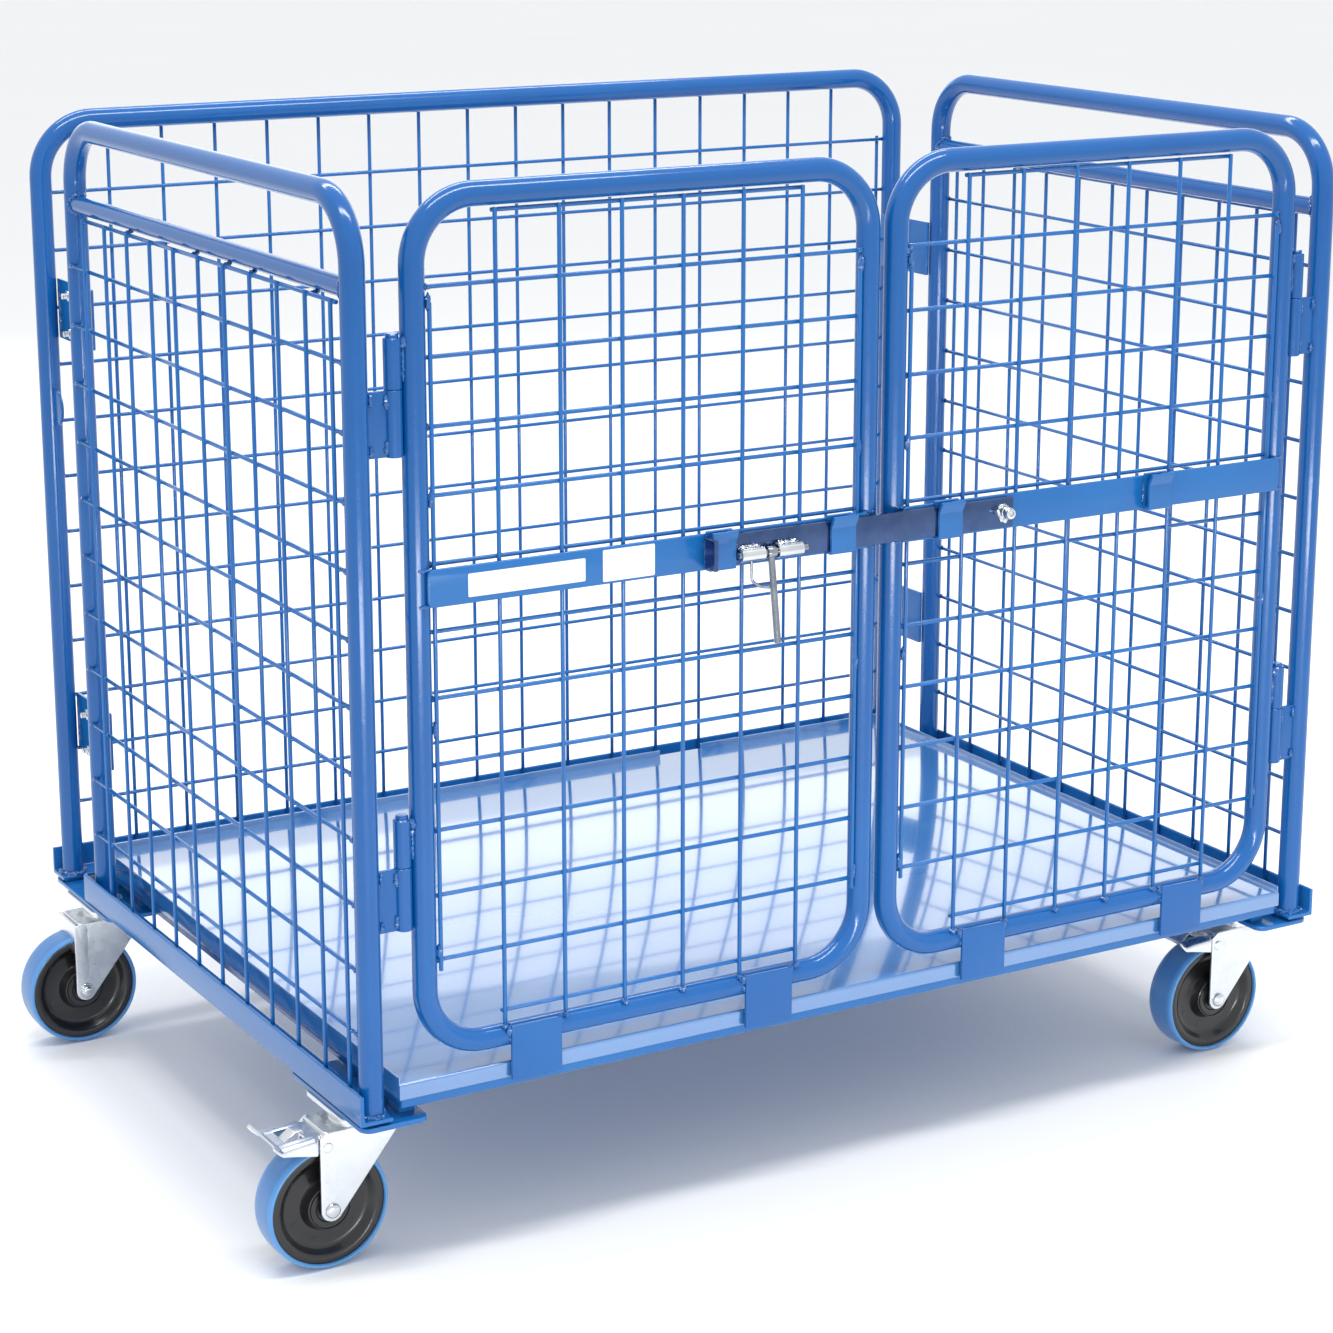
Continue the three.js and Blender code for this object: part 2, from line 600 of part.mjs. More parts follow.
// Foot lever of the front castors: a neck between the legs, then a wide tread with skirts and a flared toe.
function brakePedal(x, y) {
  const z = FORK.top - 13;
  const neck = slabXZ([[x - 44, z + 3], [x - 44, z + 6], [x - 68, z + 5], [x - 68, z + 2]], y - 25, y + 25);
  const tread = slabXZ([[x - 65, z + 2], [x - 65, z + 5], [x - 105, z + 1], [x - 105, z - 2]], y - 33, y + 33);
  const toe = slabXZ([
    [x - 104, z - 2], [x - 104, z + 1], [x - 119, z + 10], [x - 121, z + 7], [x - 106, z - 3],
  ], y - 37, y + 37);
  const skirts = [[-33, -30.5], [30.5, 33]].map(([a, b]) => (
    slabXZ([[x - 65, z - 9], [x - 65, z + 4], [x - 100, z], [x - 100, z - 4]], y + a, y + b)
  ));
  return join(neck, tread, toe, ...skirts);
}

const castors = [
  ['left_front', CASTOR.x, CASTOR.y, true],
  ['right_front', LENGTH - CASTOR.x, CASTOR.y, true],
  ['left_back', CASTOR.x, BACK_Y - CASTOR.y, false],
  ['right_back', LENGTH - CASTOR.x, BACK_Y - CASTOR.y, false],
];
for (const [name, x, y, braked] of castors) {
  add(`${name}_castor_plate`, castorPlate(x, y), ZINC, 0.9, 0.35);
  add(`${name}_castor_fork`, castorFork(x, y), ZINC, 0.9, 0.35);
  add(`${name}_castor_axle`, castorAxle(x, y), ZINC, 0.9, 0.3);
  add(`${name}_wheel_hub`, castorHub(x, y), BLACK, 0, 0.35);
  add(`${name}_tyre`, castorTyre(x, y), TYRE, 0, 0.5);
  if (braked) add(`${name}_brake_pedal`, brakePedal(x, y), ZINC, 0.9, 0.35);
}

// ---------------------------------------------------------------- centre on the ground
const bounds = new THREE.Box3().setFromObject(group);
const middle = bounds.getCenter(new THREE.Vector3());
for (const mesh of group.children) {
  mesh.geometry.translate(-middle.x, -middle.y, -bounds.min.z);
}

export default group;
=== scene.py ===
"""Looks of the roll cage container: blue tube-and-mesh cage, sheet deck, latch and castors.

Shapes are written in millimetres from the left front post, X along the doors' side, Y to the
back and Z up, and are moved into the row frame when a piece is made.
"""
import math

import bpy
import numpy as np
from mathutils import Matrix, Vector


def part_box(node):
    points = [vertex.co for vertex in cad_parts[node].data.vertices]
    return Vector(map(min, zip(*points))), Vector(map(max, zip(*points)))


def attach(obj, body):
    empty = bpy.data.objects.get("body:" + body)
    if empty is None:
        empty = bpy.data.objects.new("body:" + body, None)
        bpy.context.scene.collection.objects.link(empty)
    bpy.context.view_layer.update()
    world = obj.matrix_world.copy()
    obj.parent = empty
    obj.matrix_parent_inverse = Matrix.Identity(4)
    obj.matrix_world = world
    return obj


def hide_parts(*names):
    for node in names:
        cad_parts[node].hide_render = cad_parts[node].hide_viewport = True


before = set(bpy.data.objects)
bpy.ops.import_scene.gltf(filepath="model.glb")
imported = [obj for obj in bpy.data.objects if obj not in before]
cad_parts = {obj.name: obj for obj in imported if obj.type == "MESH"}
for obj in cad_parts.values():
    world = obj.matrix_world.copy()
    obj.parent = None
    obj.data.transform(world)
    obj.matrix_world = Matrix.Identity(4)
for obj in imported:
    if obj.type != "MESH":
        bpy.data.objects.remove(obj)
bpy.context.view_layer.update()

# ------------------------------------------------------------------ driving dimensions
LENGTH = 1322
SIDE_DEPTH = 822
BACK_Y = 949
TUBE_R = 14
BEND_R = 72
SIDE_TOP = 1221
BACK_TOP = 1217
RAIL_Z = 1126
RAIL_R = 11.5
GRID_TOP = 1124
PITCH = 75
WIRE_R = 2.5
UPRIGHT_OUT = 15.9
LEVEL_OUT = 11.4
FOOT = 204.3
ANGLE = {"low": 200, "high": 236, "inner": 18.3, "outer": 22.6, "reach": 17, "over": 20}
DECK = {"x0": 28, "x1": 1294, "y0": -14, "y1": 918, "top": 238, "sheet": 2, "lip": 7.5, "fold": 19}
FRAME_LOW = 207.5
FRAME_INSET = 2.6
FRAME_RAIL = 40
DOOR_Y = -4
DOOR_SIDE = 66.3
DOOR_WIDTH = 575.4
DOOR_LOW = 268
DOOR_TOP = 1218
DOOR_INSET = 17.4
DOOR_WIRES = 8
BAR_LOW = 779
BAR_HIGH = 821
BAR_FRONT = -23
TAB_AT = (98.7, 407.7)
TAB_WIDTH = 64
HINGE_X = 42.2
HINGE_Z = {"upper": 945, "lower": 415}
BRACKET_H = 72.5
KNUCKLE_H = 55
KNUCKLE_R = 9.9
KEEPER_X = (432, 593, 743, 1053)
LATCH = {"x0": 410, "x1": 835, "z0": 783.8, "z1": 818.8, "y0": -32, "y1": -27}
BARREL_Y = -40.2
BARREL_Z = 795
CASTOR_X = 20
CASTOR_Y = 81
TRAIL = 48
AXLE_Z = 75
CROWN_Z = 177
TUBE_FACES = 36

post_low, post_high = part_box("left_panel_tube")
ORIGIN = np.array([
    (post_low.x + post_high.x) / 2,
    (post_low.y + post_high.y) / 2 - SIDE_DEPTH / 2000,
    0.0,
])


# ------------------------------------------------------------------ shapes
def unit(vectors):
    """Each vector divided by its own length."""
    return vectors / np.maximum(np.linalg.norm(vectors, axis=-1, keepdims=True), 1e-12)


def outward(points, faces):
    """Turns all faces over when the skin's signed volume, summed over face fans, is negative."""
    fans = np.array([(f[0], f[i], f[i + 1]) for f in faces for i in range(1, len(f) - 1)])
    a, b, c = points[fans].transpose(1, 0, 2)
    if np.einsum("ij,ij->", a, np.cross(b, c)) < 0:
        faces = [f[::-1] for f in faces]
    return points, faces


def skin(points, loop=False):
    """Closed skin over a grid: each row is a ring, and rows follow one another.

    Rows join end to start when loop is set, and otherwise one face closes each end.
    """
    rows, columns = points.shape[:2]
    index = np.arange(rows * columns).reshape(rows, columns)
    near = index if loop else index[:-1]
    far = np.roll(index, -1, 0) if loop else index[1:]
    quads = np.stack([near, far, np.roll(far, -1, 1), np.roll(near, -1, 1)], -1)
    faces = quads.reshape(-1, 4).tolist()
    if not loop:
        faces += [index[0].tolist(), index[-1][::-1].tolist()]
    return outward(points.reshape(-1, 3), faces)


def merge(*shapes):
    """Several skins as one list of points and faces."""
    points, faces, used = [], [], 0
    for p, f in shapes:
        points.append(p)
        faces += [[used + i for i in face] for face in f]
        used += len(p)
    return np.concatenate(points), faces


def copies(shape, places):
    """The same skin repeated, its points shifted to each place in turn."""
    points, faces = shape
    places = np.asarray(places, float).reshape(-1, 3)
    moved = (places[:, None] + points[None]).reshape(-1, 3)
    shifts = range(0, len(moved), len(points))
    return moved, [[i + s for i in face] for s in shifts for face in faces]


def shifted(shape, x=0.0, y=0.0, z=0.0):
    """The skin moved by a constant vector."""
    return shape[0] + np.array([x, y, z]), shape[1]


def mirrored(shape, x):
    """The skin reflected in the plane of one X value, its faces turned back outwards."""
    points = shape[0] * np.array([-1, 1, 1]) + np.array([2 * x, 0, 0])
    return points, [face[::-1] for face in shape[1]]


def half_turned(shape, x, y):
    """The skin turned by half a turn about the vertical line through x, y."""
    return shape[0] * np.array([-1, -1, 1]) + np.array([2 * x, 2 * y, 0]), shape[1]


def circle(radius, count=TUBE_FACES):
    """Cosine and sine of equal angle steps, times the radius."""
    turn = np.linspace(0, 2 * np.pi, count, endpoint=False)
    return radius * np.stack([np.cos(turn), np.sin(turn)], -1)


def bent(corners, radius, closed=False, steps=12):
    """Corner points with each corner replaced by an arc that touches both of its sides."""
    corners = np.asarray(corners, float)
    count = len(corners)
    radii = np.broadcast_to(np.asarray(radius, float), (count,))
    path = []
    for i, here in enumerate(corners):
        if not closed and i in (0, count - 1):
            path.append(here[None])
            continue
        before = unit(corners[i - 1] - here)
        after = unit(corners[(i + 1) % count] - here)
        half = np.arccos(np.clip(before @ after, -1, 1)) / 2
        start = here + before * radii[i] / np.tan(half)
        centre = here + unit(before + after) * radii[i] / np.sin(half)
        across = unit(start - centre)
        along = unit(after - before)
        along = unit(along - (along @ across) * across)
        turn = np.linspace(0, np.pi - 2 * half, steps + 1)[:, None]
        path.append(centre + radii[i] * (np.cos(turn) * across + np.sin(turn) * along))
    return np.concatenate(path)


def flat(corners, radius, steps=3):
    """Closed outline in two numbers with rounded corners."""
    corners = np.asarray(corners, float)
    padded = np.column_stack([corners, np.zeros(len(corners))])
    return bent(padded, radius, closed=True, steps=steps)[:, :2]


def swept(path, profile, normal, closed=False):
    """Profile carried along a path.

    A profile point sits its first number out along the side direction, which is square to the
    path and to the normal, and its second number out along the normal. Sides lengthen at mitres.
    """
    path = np.asarray(path, float)
    normal = np.asarray(normal, float)
    into = unit(path - np.roll(path, 1, 0))
    out = unit(np.roll(path, -1, 0) - path)
    if not closed:
        into[0], out[-1] = out[0], into[-1]
    side_in = unit(np.cross(into, normal))
    side = unit(side_in + unit(np.cross(out, normal)))
    side = side / np.maximum(0.4, (side * side_in).sum(1, keepdims=True))
    points = (
        path[:, None]
        + profile[None, :, :1] * side[:, None]
        + profile[None, :, 1:] * normal
    )
    return skin(points, loop=closed)


def bar(start, end, profile, normal):
    """Straight piece with one profile from start to end."""
    return swept([start, end], profile, normal)


def rod(start, end, radius, count=12):
    """Round bar whose ends are eased in over a quarter of the radius."""
    start, end = np.asarray(start, float), np.asarray(end, float)
    along = unit(end - start)
    ease = along * radius * 0.25
    path = np.stack([start, start + ease, end - ease, end])
    helper = np.array([0, 0, 1.0]) if abs(along[2]) < 0.9 else np.array([0, 1.0, 0])
    side = unit(np.cross(along, helper))
    up = np.cross(along, side)
    ring = circle(1, count)
    reach = radius * np.array([0.8, 1, 1, 0.8])[:, None, None]
    points = path[:, None] + reach * (ring[None, :, :1] * side + ring[None, :, 1:] * up)
    return skin(points)


def turned(profile, axis, at, count=48, loop=False):
    """Profile of (radius, height) points turned round an axis through a place."""
    profile = np.asarray(profile, float)
    ring = circle(1, count)
    radial = profile[:, None, :1] * ring[None]
    height = np.broadcast_to(profile[:, None, 1:], (len(profile), count, 1))
    order = {"x": (2, 0, 1), "y": (1, 2, 0), "z": (0, 1, 2)}[axis]
    points = np.concatenate([radial, height], -1)[..., order]
    return skin(points + np.asarray(at, float), loop=loop)


def block(low, high, radius=1.0, steps=3):
    """Box with rounded edges: a sphere's grid whose eighths are moved out to the corners."""
    low, high = np.asarray(low, float), np.asarray(high, float)
    centre, half = (low + high) / 2, (high - low) / 2
    radius = min(radius, half.min() * 0.98)
    tilt = np.radians(np.linspace(-78, 0, steps + 1))
    tilt = np.concatenate([tilt, -tilt[::-1]])
    pole = np.repeat([-1, 1], steps + 1)
    turn = np.radians(np.concatenate([np.linspace(a, a + 90, steps + 1) for a in (0, 90, 180, 270)]))
    sx = np.repeat([1, -1, -1, 1], steps + 1)
    sy = np.repeat([1, 1, -1, -1], steps + 1)
    x = sx * (half[0] - radius) + radius * np.cos(tilt)[:, None] * np.cos(turn)
    y = sy * (half[1] - radius) + radius * np.cos(tilt)[:, None] * np.sin(turn)
    rise = radius * np.sin(tilt) / math.sin(math.radians(78))
    z = np.broadcast_to((pole * (half[2] - radius) + rise)[:, None], x.shape)
    return skin(np.stack([x, y, z], -1) + centre)


def plate(outline, low, high, axis, edge=0.8, steps=3):
    """Flat outline given thickness along an axis, its rims rounded.

    Rows step through a quarter circle at each rim, and each row is the outline drawn in along
    its own inward normals by what that quarter circle has left.
    """
    outline = np.asarray(outline, float)
    step = unit(np.roll(outline, -1, 0) - np.roll(outline, 1, 0))
    area = np.sum(outline[:, 0] * np.roll(outline[:, 1], -1) - outline[:, 1] * np.roll(outline[:, 0], -1))
    inward = np.stack([-step[:, 1], step[:, 0]], -1) * np.sign(area)
    edge = min(edge, (high - low) * 0.49)
    turn = np.linspace(0, np.pi / 2, steps + 1)
    draw = edge * (1 - np.sin(turn))
    rise = edge * (1 - np.cos(turn))
    draw = np.concatenate([draw, draw[::-1]])
    height = np.concatenate([low + rise, high - rise[::-1]])
    rows = outline[None] + inward[None] * draw[:, None, None]
    rows = np.concatenate([rows, np.broadcast_to(height[:, None, None], (*rows.shape[:2], 1))], -1)
    order = {"x": (2, 0, 1), "y": (0, 2, 1), "z": (0, 1, 2)}[axis]
    return skin(rows[..., order])


def rectangle(a0, a1, b0, b1, radius, steps=5):
    """Rounded rectangle outline between two pairs of limits."""
    return flat([(a0, b0), (a1, b0), (a1, b1), (a0, b1)], radius, steps)


def bead(path, radius, seed, closed=False, count=10):
    """Weld run: a round section carried along a path, its radius rippling by a slow and a fast
    wave and by a seeded random share at each point, and pinched where it starts and ends."""
    path = np.asarray(path, float)
    rng = np.random.default_rng(seed)
    steps = len(path)
    along = np.linspace(0, 1, steps)
    ripple = 1 + 0.14 * np.sin(along * steps * 1.9) + 0.1 * np.sin(along * steps * 0.7 + seed)
    if not closed:
        ripple = ripple * np.clip(np.sin(np.pi * (0.06 + 0.88 * along)) * 1.9, 0.3, 1)
    lumps = 1 + 0.32 * rng.uniform(-1, 1, (steps, count))
    tangent = unit(np.roll(path, -1, 0) - np.roll(path, 1, 0))
    if not closed:
        tangent[0], tangent[-1] = unit(path[1] - path[0]), unit(path[-1] - path[-2])
    helper = np.where(np.abs(tangent[:, 2:]) < 0.9, [[0, 0, 1.0]], [[1.0, 0, 0]])
    side = unit(np.cross(tangent, helper))
    up = np.cross(tangent, side)
    ring = circle(1, count)
    reach = radius * (ripple[:, None] * lumps)[..., None]
    points = path[:, None] + reach * (ring[None, :, :1] * side[:, None] + ring[None, :, 1:] * up[:, None])
    return skin(points, loop=closed)


def line(start, end, step=1.6):
    """Points at about equal steps from start to end."""
    start, end = np.asarray(start, float), np.asarray(end, float)
    count = max(4, int(np.linalg.norm(end - start) / step))
    return start + np.linspace(0, 1, count)[:, None] * (end - start)


def ring(centre, radius, axis, count):
    """Points round a circle about an axis."""
    turn = np.radians(np.linspace(0, 360, count, endpoint=False))
    u, v = radius * np.cos(turn), radius * np.sin(turn)
    zero = np.zeros_like(u)
    parts = {"x": (zero, u, v), "y": (u, zero, v), "z": (u, v, zero)}[axis]
    return np.stack(parts, -1) + np.asarray(centre, float)


def blob(at, size, seed):
    """Weld spatter: a ball's grid, its radius lifted and sunk by seeded random numbers."""
    rows, columns = 9, 14
    rng = np.random.default_rng(seed)
    tilt = np.linspace(-0.47, 0.47, rows)[:, None] * np.pi
    turn = np.linspace(0, 2 * np.pi, columns, endpoint=False)[None]
    rough = 1 + 0.3 * rng.uniform(-1, 1, (rows, columns))
    shell = np.stack(np.broadcast_arrays(
        np.cos(tilt) * np.cos(turn), np.cos(tilt) * np.sin(turn), np.sin(tilt)), -1)
    return skin(shell * rough[..., None] * np.asarray(size, float) + np.asarray(at, float))


def nugget(radius):
    """Small smooth ball, a little squashed, that stands for a spot weld between two wires."""
    tilt = np.linspace(-0.45, 0.45, 5)[:, None] * np.pi
    turn = np.linspace(0, 2 * np.pi, 8, endpoint=False)[None]
    shell = np.broadcast_arrays(np.cos(tilt) * np.cos(turn), np.cos(tilt) * np.sin(turn), np.sin(tilt))
    return skin(np.stack(shell, -1) * radius)


def hexagon(width):
    """Six corners of a nut, from its width over flats, with the corners just eased."""
    turn = np.radians(np.arange(6) * 60)
    corners = width / math.sqrt(3) * np.stack([np.cos(turn), np.sin(turn)], -1)
    return flat(corners, width * 0.05, steps=2)


# ------------------------------------------------------------------ finishes
class Signal:
    """A node's output that takes part in sums: each operator adds one Math node."""

    def __init__(self, finish, socket):
        self.finish = finish
        self.socket = socket

    def math(self, operation, first, second):
        return self.finish.node("ShaderNodeMath", {"operation": operation}, {0: first, 1: second})

    def __add__(self, other):
        return self.math("ADD", self, other)

    def __mul__(self, other):
        return self.math("MULTIPLY", self, other)

    __radd__ = __add__
    __rmul__ = __mul__


class Finish:
    """One material: its own numbers set on the shader, and its patterns built by node()."""

    def __init__(self, name, **numbers):
        self.material = bpy.data.materials.new(name)
        self.material.use_nodes = True
        self.tree = self.material.node_tree
        self.shader = self.tree.nodes["Principled BSDF"]
        for key, value in numbers.items():
            self.shader.inputs[key.replace("_", " ")].default_value = value
        self.place = self.node("ShaderNodeTexCoord", output="Object")

    def feed(self, socket, value):
        """Links a signal to a socket, or sets a number or colour on it."""
        if isinstance(value, Signal):
            self.tree.links.new(value.socket, socket)
        else:
            socket.default_value = value

    def node(self, kind, settings=None, inputs=None, output=0):
        """Adds a node: its settings first, then the values or links of its sockets."""
        made = self.tree.nodes.new(kind)
        for key, value in (settings or {}).items():
            if key == "stops":
                self.stops(made.color_ramp, value)
            else:
                setattr(made, key, value)
        for key, value in (inputs or {}).items():
            self.feed(made.inputs[key], value)
        return Signal(self, made.outputs[output])

    def stops(self, ramp, places):
        """Sets a ramp's stops from (position, grey) pairs."""
        while len(ramp.elements) < len(places):
            ramp.elements.new(0.5)
        for element, (position, grey) in zip(ramp.elements, places):
            element.position = position
            element.color = (grey, grey, grey, 1)

    def noise(self, scale, detail=3.0, roughness=0.55, stretch=(1, 1, 1)):
        """Noise at a scale per metre, drawn out along an axis by stretch."""
        place = self.node("ShaderNodeMapping", {}, {"Vector": self.place, "Scale": stretch})
        return self.node("ShaderNodeTexNoise", {}, {
            "Vector": place, "Scale": scale, "Detail": detail, "Roughness": roughness})

    def ramp(self, value, places):
        """A value sent through a ramp of greys."""
        return self.node("ShaderNodeValToRGB", {"stops": places}, {0: value})

    def blend(self, share, first, second):
        """Colour between two colours by a share."""
        return self.node("ShaderNodeMix", {"data_type": "RGBA"}, {0: share, 6: first, 7: second}, output=2)

    def bump(self, height, strength, distance):
        """Height as a surface slope, fed to the shader."""
        slope = self.node("ShaderNodeBump", {}, {
            "Strength": strength, "Distance": distance, "Height": height})
        self.paint(Normal=slope)

    def paint(self, **signals):
        """Feeds signals to the shader's own sockets."""
        for key, value in signals.items():
            self.feed(self.shader.inputs[key.replace("_", " ")], value)


def powder_coat(name, deep, light, gloss, peel=0.1, cover=0.2, index=1.46):
    """Baked powder paint between two blues: slow shade drift, fine dust and orange peel.

    Gloss is the roughness, peel the strength of the orange peel, cover the clear coat's share.
    """
    paint = Finish(name, IOR=index, Coat_Weight=cover, Coat_Roughness=0.05, Coat_IOR=index)
    drift = paint.ramp(paint.noise(4, 2), [(0.3, 0), (0.7, 1)])
    dust = paint.noise(60, 4, 0.65)
    specks = paint.ramp(paint.noise(900, 2), [(0.66, 0), (0.72, 1)])
    shade = paint.blend(drift * 0.7 + dust * 0.3, deep, light)
    paint.paint(Base_Color=paint.blend(specks * 0.12, shade, (0.2, 0.42, 0.75, 1)))
    paint.paint(Roughness=dust * 0.1 + (gloss - 0.05))
    skin_noise = paint.noise(430, 2, 0.45)
    paint.bump(skin_noise + paint.noise(90, 2) * 0.8, peel, 0.0006)
    return paint.material


def zinc_plate(name, tint, shadow, rough, stretch=(1, 1, 1)):
    """Bright zinc: cloudy blue and straw tints, spangle, handling marks and fine scratches."""
    metal = Finish(name, Metallic=1.0)
    clouds = metal.ramp(metal.noise(28, 3, 0.6), [(0.32, 0), (0.68, 1)])
    spangle = metal.node("ShaderNodeTexVoronoi", {"feature": "F1"}, {
        "Vector": metal.place, "Scale": 420})
    tone = metal.blend(clouds, shadow, tint)
    straw = metal.ramp(metal.noise(11, 2), [(0.55, 0), (0.75, 1)])
    warm = tuple(part * share for part, share in zip(tint[:3], (1.0, 0.95, 0.80))) + (1,)
    tone = metal.blend(straw * 0.3, tone, warm)
    pale = tuple(min(1.0, part * 1.5) for part in tint[:3]) + (1,)
    metal.paint(Base_Color=metal.blend(spangle * 0.12, tone, pale))
    scratch = metal.noise(240, 4, 0.7, stretch)
    marks = metal.ramp(metal.noise(70, 5, 0.7), [(0.45, 0), (0.7, 1)])
    metal.paint(Roughness=marks * 0.14 + scratch * 0.08 + rough)
    metal.bump(scratch, 0.04, 0.0003)
    return metal.material


def nylon(name):
    """Moulded black nylon: faint flow clouds and a fine satin grain."""
    moulded = Finish(name, IOR=1.45, Coat_Weight=0.45, Coat_Roughness=0.07)
    flow = moulded.noise(26, 4, 0.6)
    moulded.paint(Base_Color=moulded.blend(flow, (0.004, 0.004, 0.005, 1), (0.012, 0.011, 0.012, 1)))
    grain = moulded.noise(1300, 2)
    moulded.paint(Roughness=grain * 0.12 + flow * 0.1 + 0.2)
    moulded.bump(grain + flow * 2.0, 0.12, 0.0003)
    return moulded.material


def elastic_tyre(name):
    """Blue elastic rubber: painted sheen makes the shoulders lighter, with road dust and rolled-in scuffs.
    """
    rubber = Finish(name, IOR=1.5, Sheen_Weight=0.15, Sheen_Roughness=0.5)
    across = rubber.node("ShaderNodeAttribute", {"attribute_name": "across"}, output="Fac")
    # painted sheen: a paler blue towards both shoulders stands in for light catching the rounded edges
    shoulder_sheen = rubber.ramp(across, [(0.62, 0), (0.86, 1)])
    cloud = rubber.noise(45, 4, 0.6)
    tread = rubber.blend(cloud, (0.030, 0.150, 0.400, 1), (0.050, 0.200, 0.480, 1))
    # the paler blue here is the painted sheen colour laid over the shoulders
    body = rubber.blend(shoulder_sheen * 0.6, tread, (0.090, 0.300, 0.620, 1))
    scuffs = rubber.ramp(rubber.noise(160, 5, 0.75), [(0.6, 0), (0.78, 1)])
    rubber.paint(Base_Color=rubber.blend(scuffs * 0.14, body, (0.36, 0.50, 0.68, 1)))
    rubber.paint(Roughness=cloud * 0.12 + scuffs * 0.15 + 0.3)
    rubber.bump(rubber.noise(700, 3) + scuffs * 0.6, 0.16, 0.0004)
    return rubber.material


def label_film(name):
    """Blank printed-stock film: near white, with a faint fibre and a soft sheen."""
    film = Finish(name, IOR=1.48, Coat_Weight=0.4, Coat_Roughness=0.15)
    fibre = film.noise(500, 4, 0.6)
    film.paint(Base_Color=film.blend(fibre, (0.76, 0.77, 0.78, 1), (0.86, 0.86, 0.86, 1)))
    film.paint(Roughness=fibre * 0.1 + 0.28)
    film.bump(fibre, 0.05, 0.0002)
    return film.material


TUBE_BLUES = (0.002, 0.082, 0.300, 1), (0.004, 0.105, 0.350, 1)
SHEET_BLUES = (0.006, 0.108, 0.350, 1), (0.012, 0.140, 0.410, 1)
DECK_BLUES = (0.030, 0.150, 0.400, 1), (0.050, 0.190, 0.460, 1)
WIRE_BLUES = (0.004, 0.100, 0.340, 1), (0.008, 0.130, 0.400, 1)
coat = powder_coat("blue_powder_coat_tube", *TUBE_BLUES, gloss=0.16)
sheet_coat = powder_coat("blue_powder_coat_sheet", *SHEET_BLUES, gloss=0.17, peel=0.07)
deck_coat = powder_coat("blue_powder_coat_deck", *DECK_BLUES, gloss=0.13, peel=0.05, cover=1.0, index=1.9)
weld_coat = powder_coat("blue_powder_coat_weld", *TUBE_BLUES, gloss=0.08, peel=0.9, cover=1.0)
wire_coat = powder_coat("blue_powder_coat_wire", *WIRE_BLUES, gloss=0.2)
part_coats = {"mesh": wire_coat, "angle": sheet_coat, "bar": sheet_coat, "welds": weld_coat}
zinc = zinc_plate("zinc_plate_pressed", (0.74, 0.76, 0.785, 1), (0.65, 0.69, 0.72, 1), 0.24)
bar_zinc = zinc_plate("zinc_plate_bar", (0.075, 0.120, 0.250, 1), (0.045, 0.080, 0.190, 1), 0.12,
                      stretch=(0.05, 1, 1))
bright_zinc = zinc_plate("zinc_plate_turned", (0.72, 0.75, 0.76, 1), (0.55, 0.58, 0.61, 1), 0.12)
steel = zinc_plate("zinc_plate_drawn", (0.34, 0.37, 0.41, 1), (0.20, 0.22, 0.26, 1), 0.16,
                   stretch=(1, 1, 0.05))
black = nylon("black_nylon_hub")
tyre_blue = elastic_tyre("blue_tyre_rubber")
film = label_film("blank_label_film")


# ------------------------------------------------------------------ pieces
def piece(name, body, finish, slot, *shapes, stands_for=(), crease=38, marks=None):
    """One finished piece: skins merged, moved into the row frame, shaded and given to a body."""
    points, faces = merge(*shapes)
    mesh = bpy.data.meshes.new(name)
    mesh.from_pydata((points * 0.001 + ORIGIN).tolist(), [], faces)
    mesh.materials.append(finish)
    mesh.shade_smooth()
    mesh.set_sharp_from_angle(angle=math.radians(crease))
    if marks is not None:
        layer = mesh.attributes.new("across", "FLOAT", "POINT")
        layer.data.foreach_set("value", marks(points))
    made = bpy.data.objects.new(name, mesh)
    bpy.context.scene.collection.objects.link(made)
    if stands_for:
        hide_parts(*stands_for)
    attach(made, body)
    return made


def blue(name, body, *shapes, finish=coat, **more):
    """A powder-coated piece."""
    return piece(name, body, finish, "blue_powder_coat", *shapes, **more)


# ---- bent tubes, handle rails and their welds
def panel_hoop(points, normal):
    """Round tube along bent corners, closed by a face at each foot."""
    return swept(bent(points, BEND_R, steps=16), circle(TUBE_R), normal)


def foot_weld(x, y, seed):
    """Lumpy weld round a post's foot, with spatter beside it."""
    run = bead(ring((x, y, FOOT + 1.2), TUBE_R + 0.6, "z", count=64), 2.6, seed, closed=True)
    rng = np.random.default_rng(seed)
    spots = [blob((x + 16.5 * math.cos(a), y + 16.5 * math.sin(a), FOOT + 1), (3.4, 3.4, 2.8), seed + k)
             for k, a in enumerate(rng.uniform(0, 2 * math.pi, 14))]
    return merge(run, *spots)


def rail_weld(y, sign, seed):
    """Weld where a handle rail meets a post: it follows the saddle line of the two cylinders."""
    turn = np.linspace(0, 2 * np.pi, 48, endpoint=False)
    x = (RAIL_R + 0.4) * np.cos(turn)
    z = RAIL_Z + (RAIL_R + 0.4) * np.sin(turn)
    away = np.sqrt(TUBE_R ** 2 - x ** 2) + 0.5
    path = np.stack([x, y + sign * away, z], -1)
    crown = [blob((dx, y + sign * TUBE_R, RAIL_Z + 12.5), (3, 3, 2.6), seed + 20 + k)
             for k, dx in enumerate((-5, 0, 5))]
    return merge(bead(path, 2.3, seed, closed=True), *crown)


def foot_angle():
    """Section of the steel angle under a panel: its upright is the outer side."""
    low, high, inner, outer, reach = (ANGLE[k] for k in ("low", "high", "inner", "outer", "reach"))
    corners = [(-outer, low), (reach, low), (reach, FOOT), (-inner, FOOT), (-inner, high), (-outer, high)]
    return flat(corners, (1.2, 1.5, 1.5, 4, 1.9, 1.9))


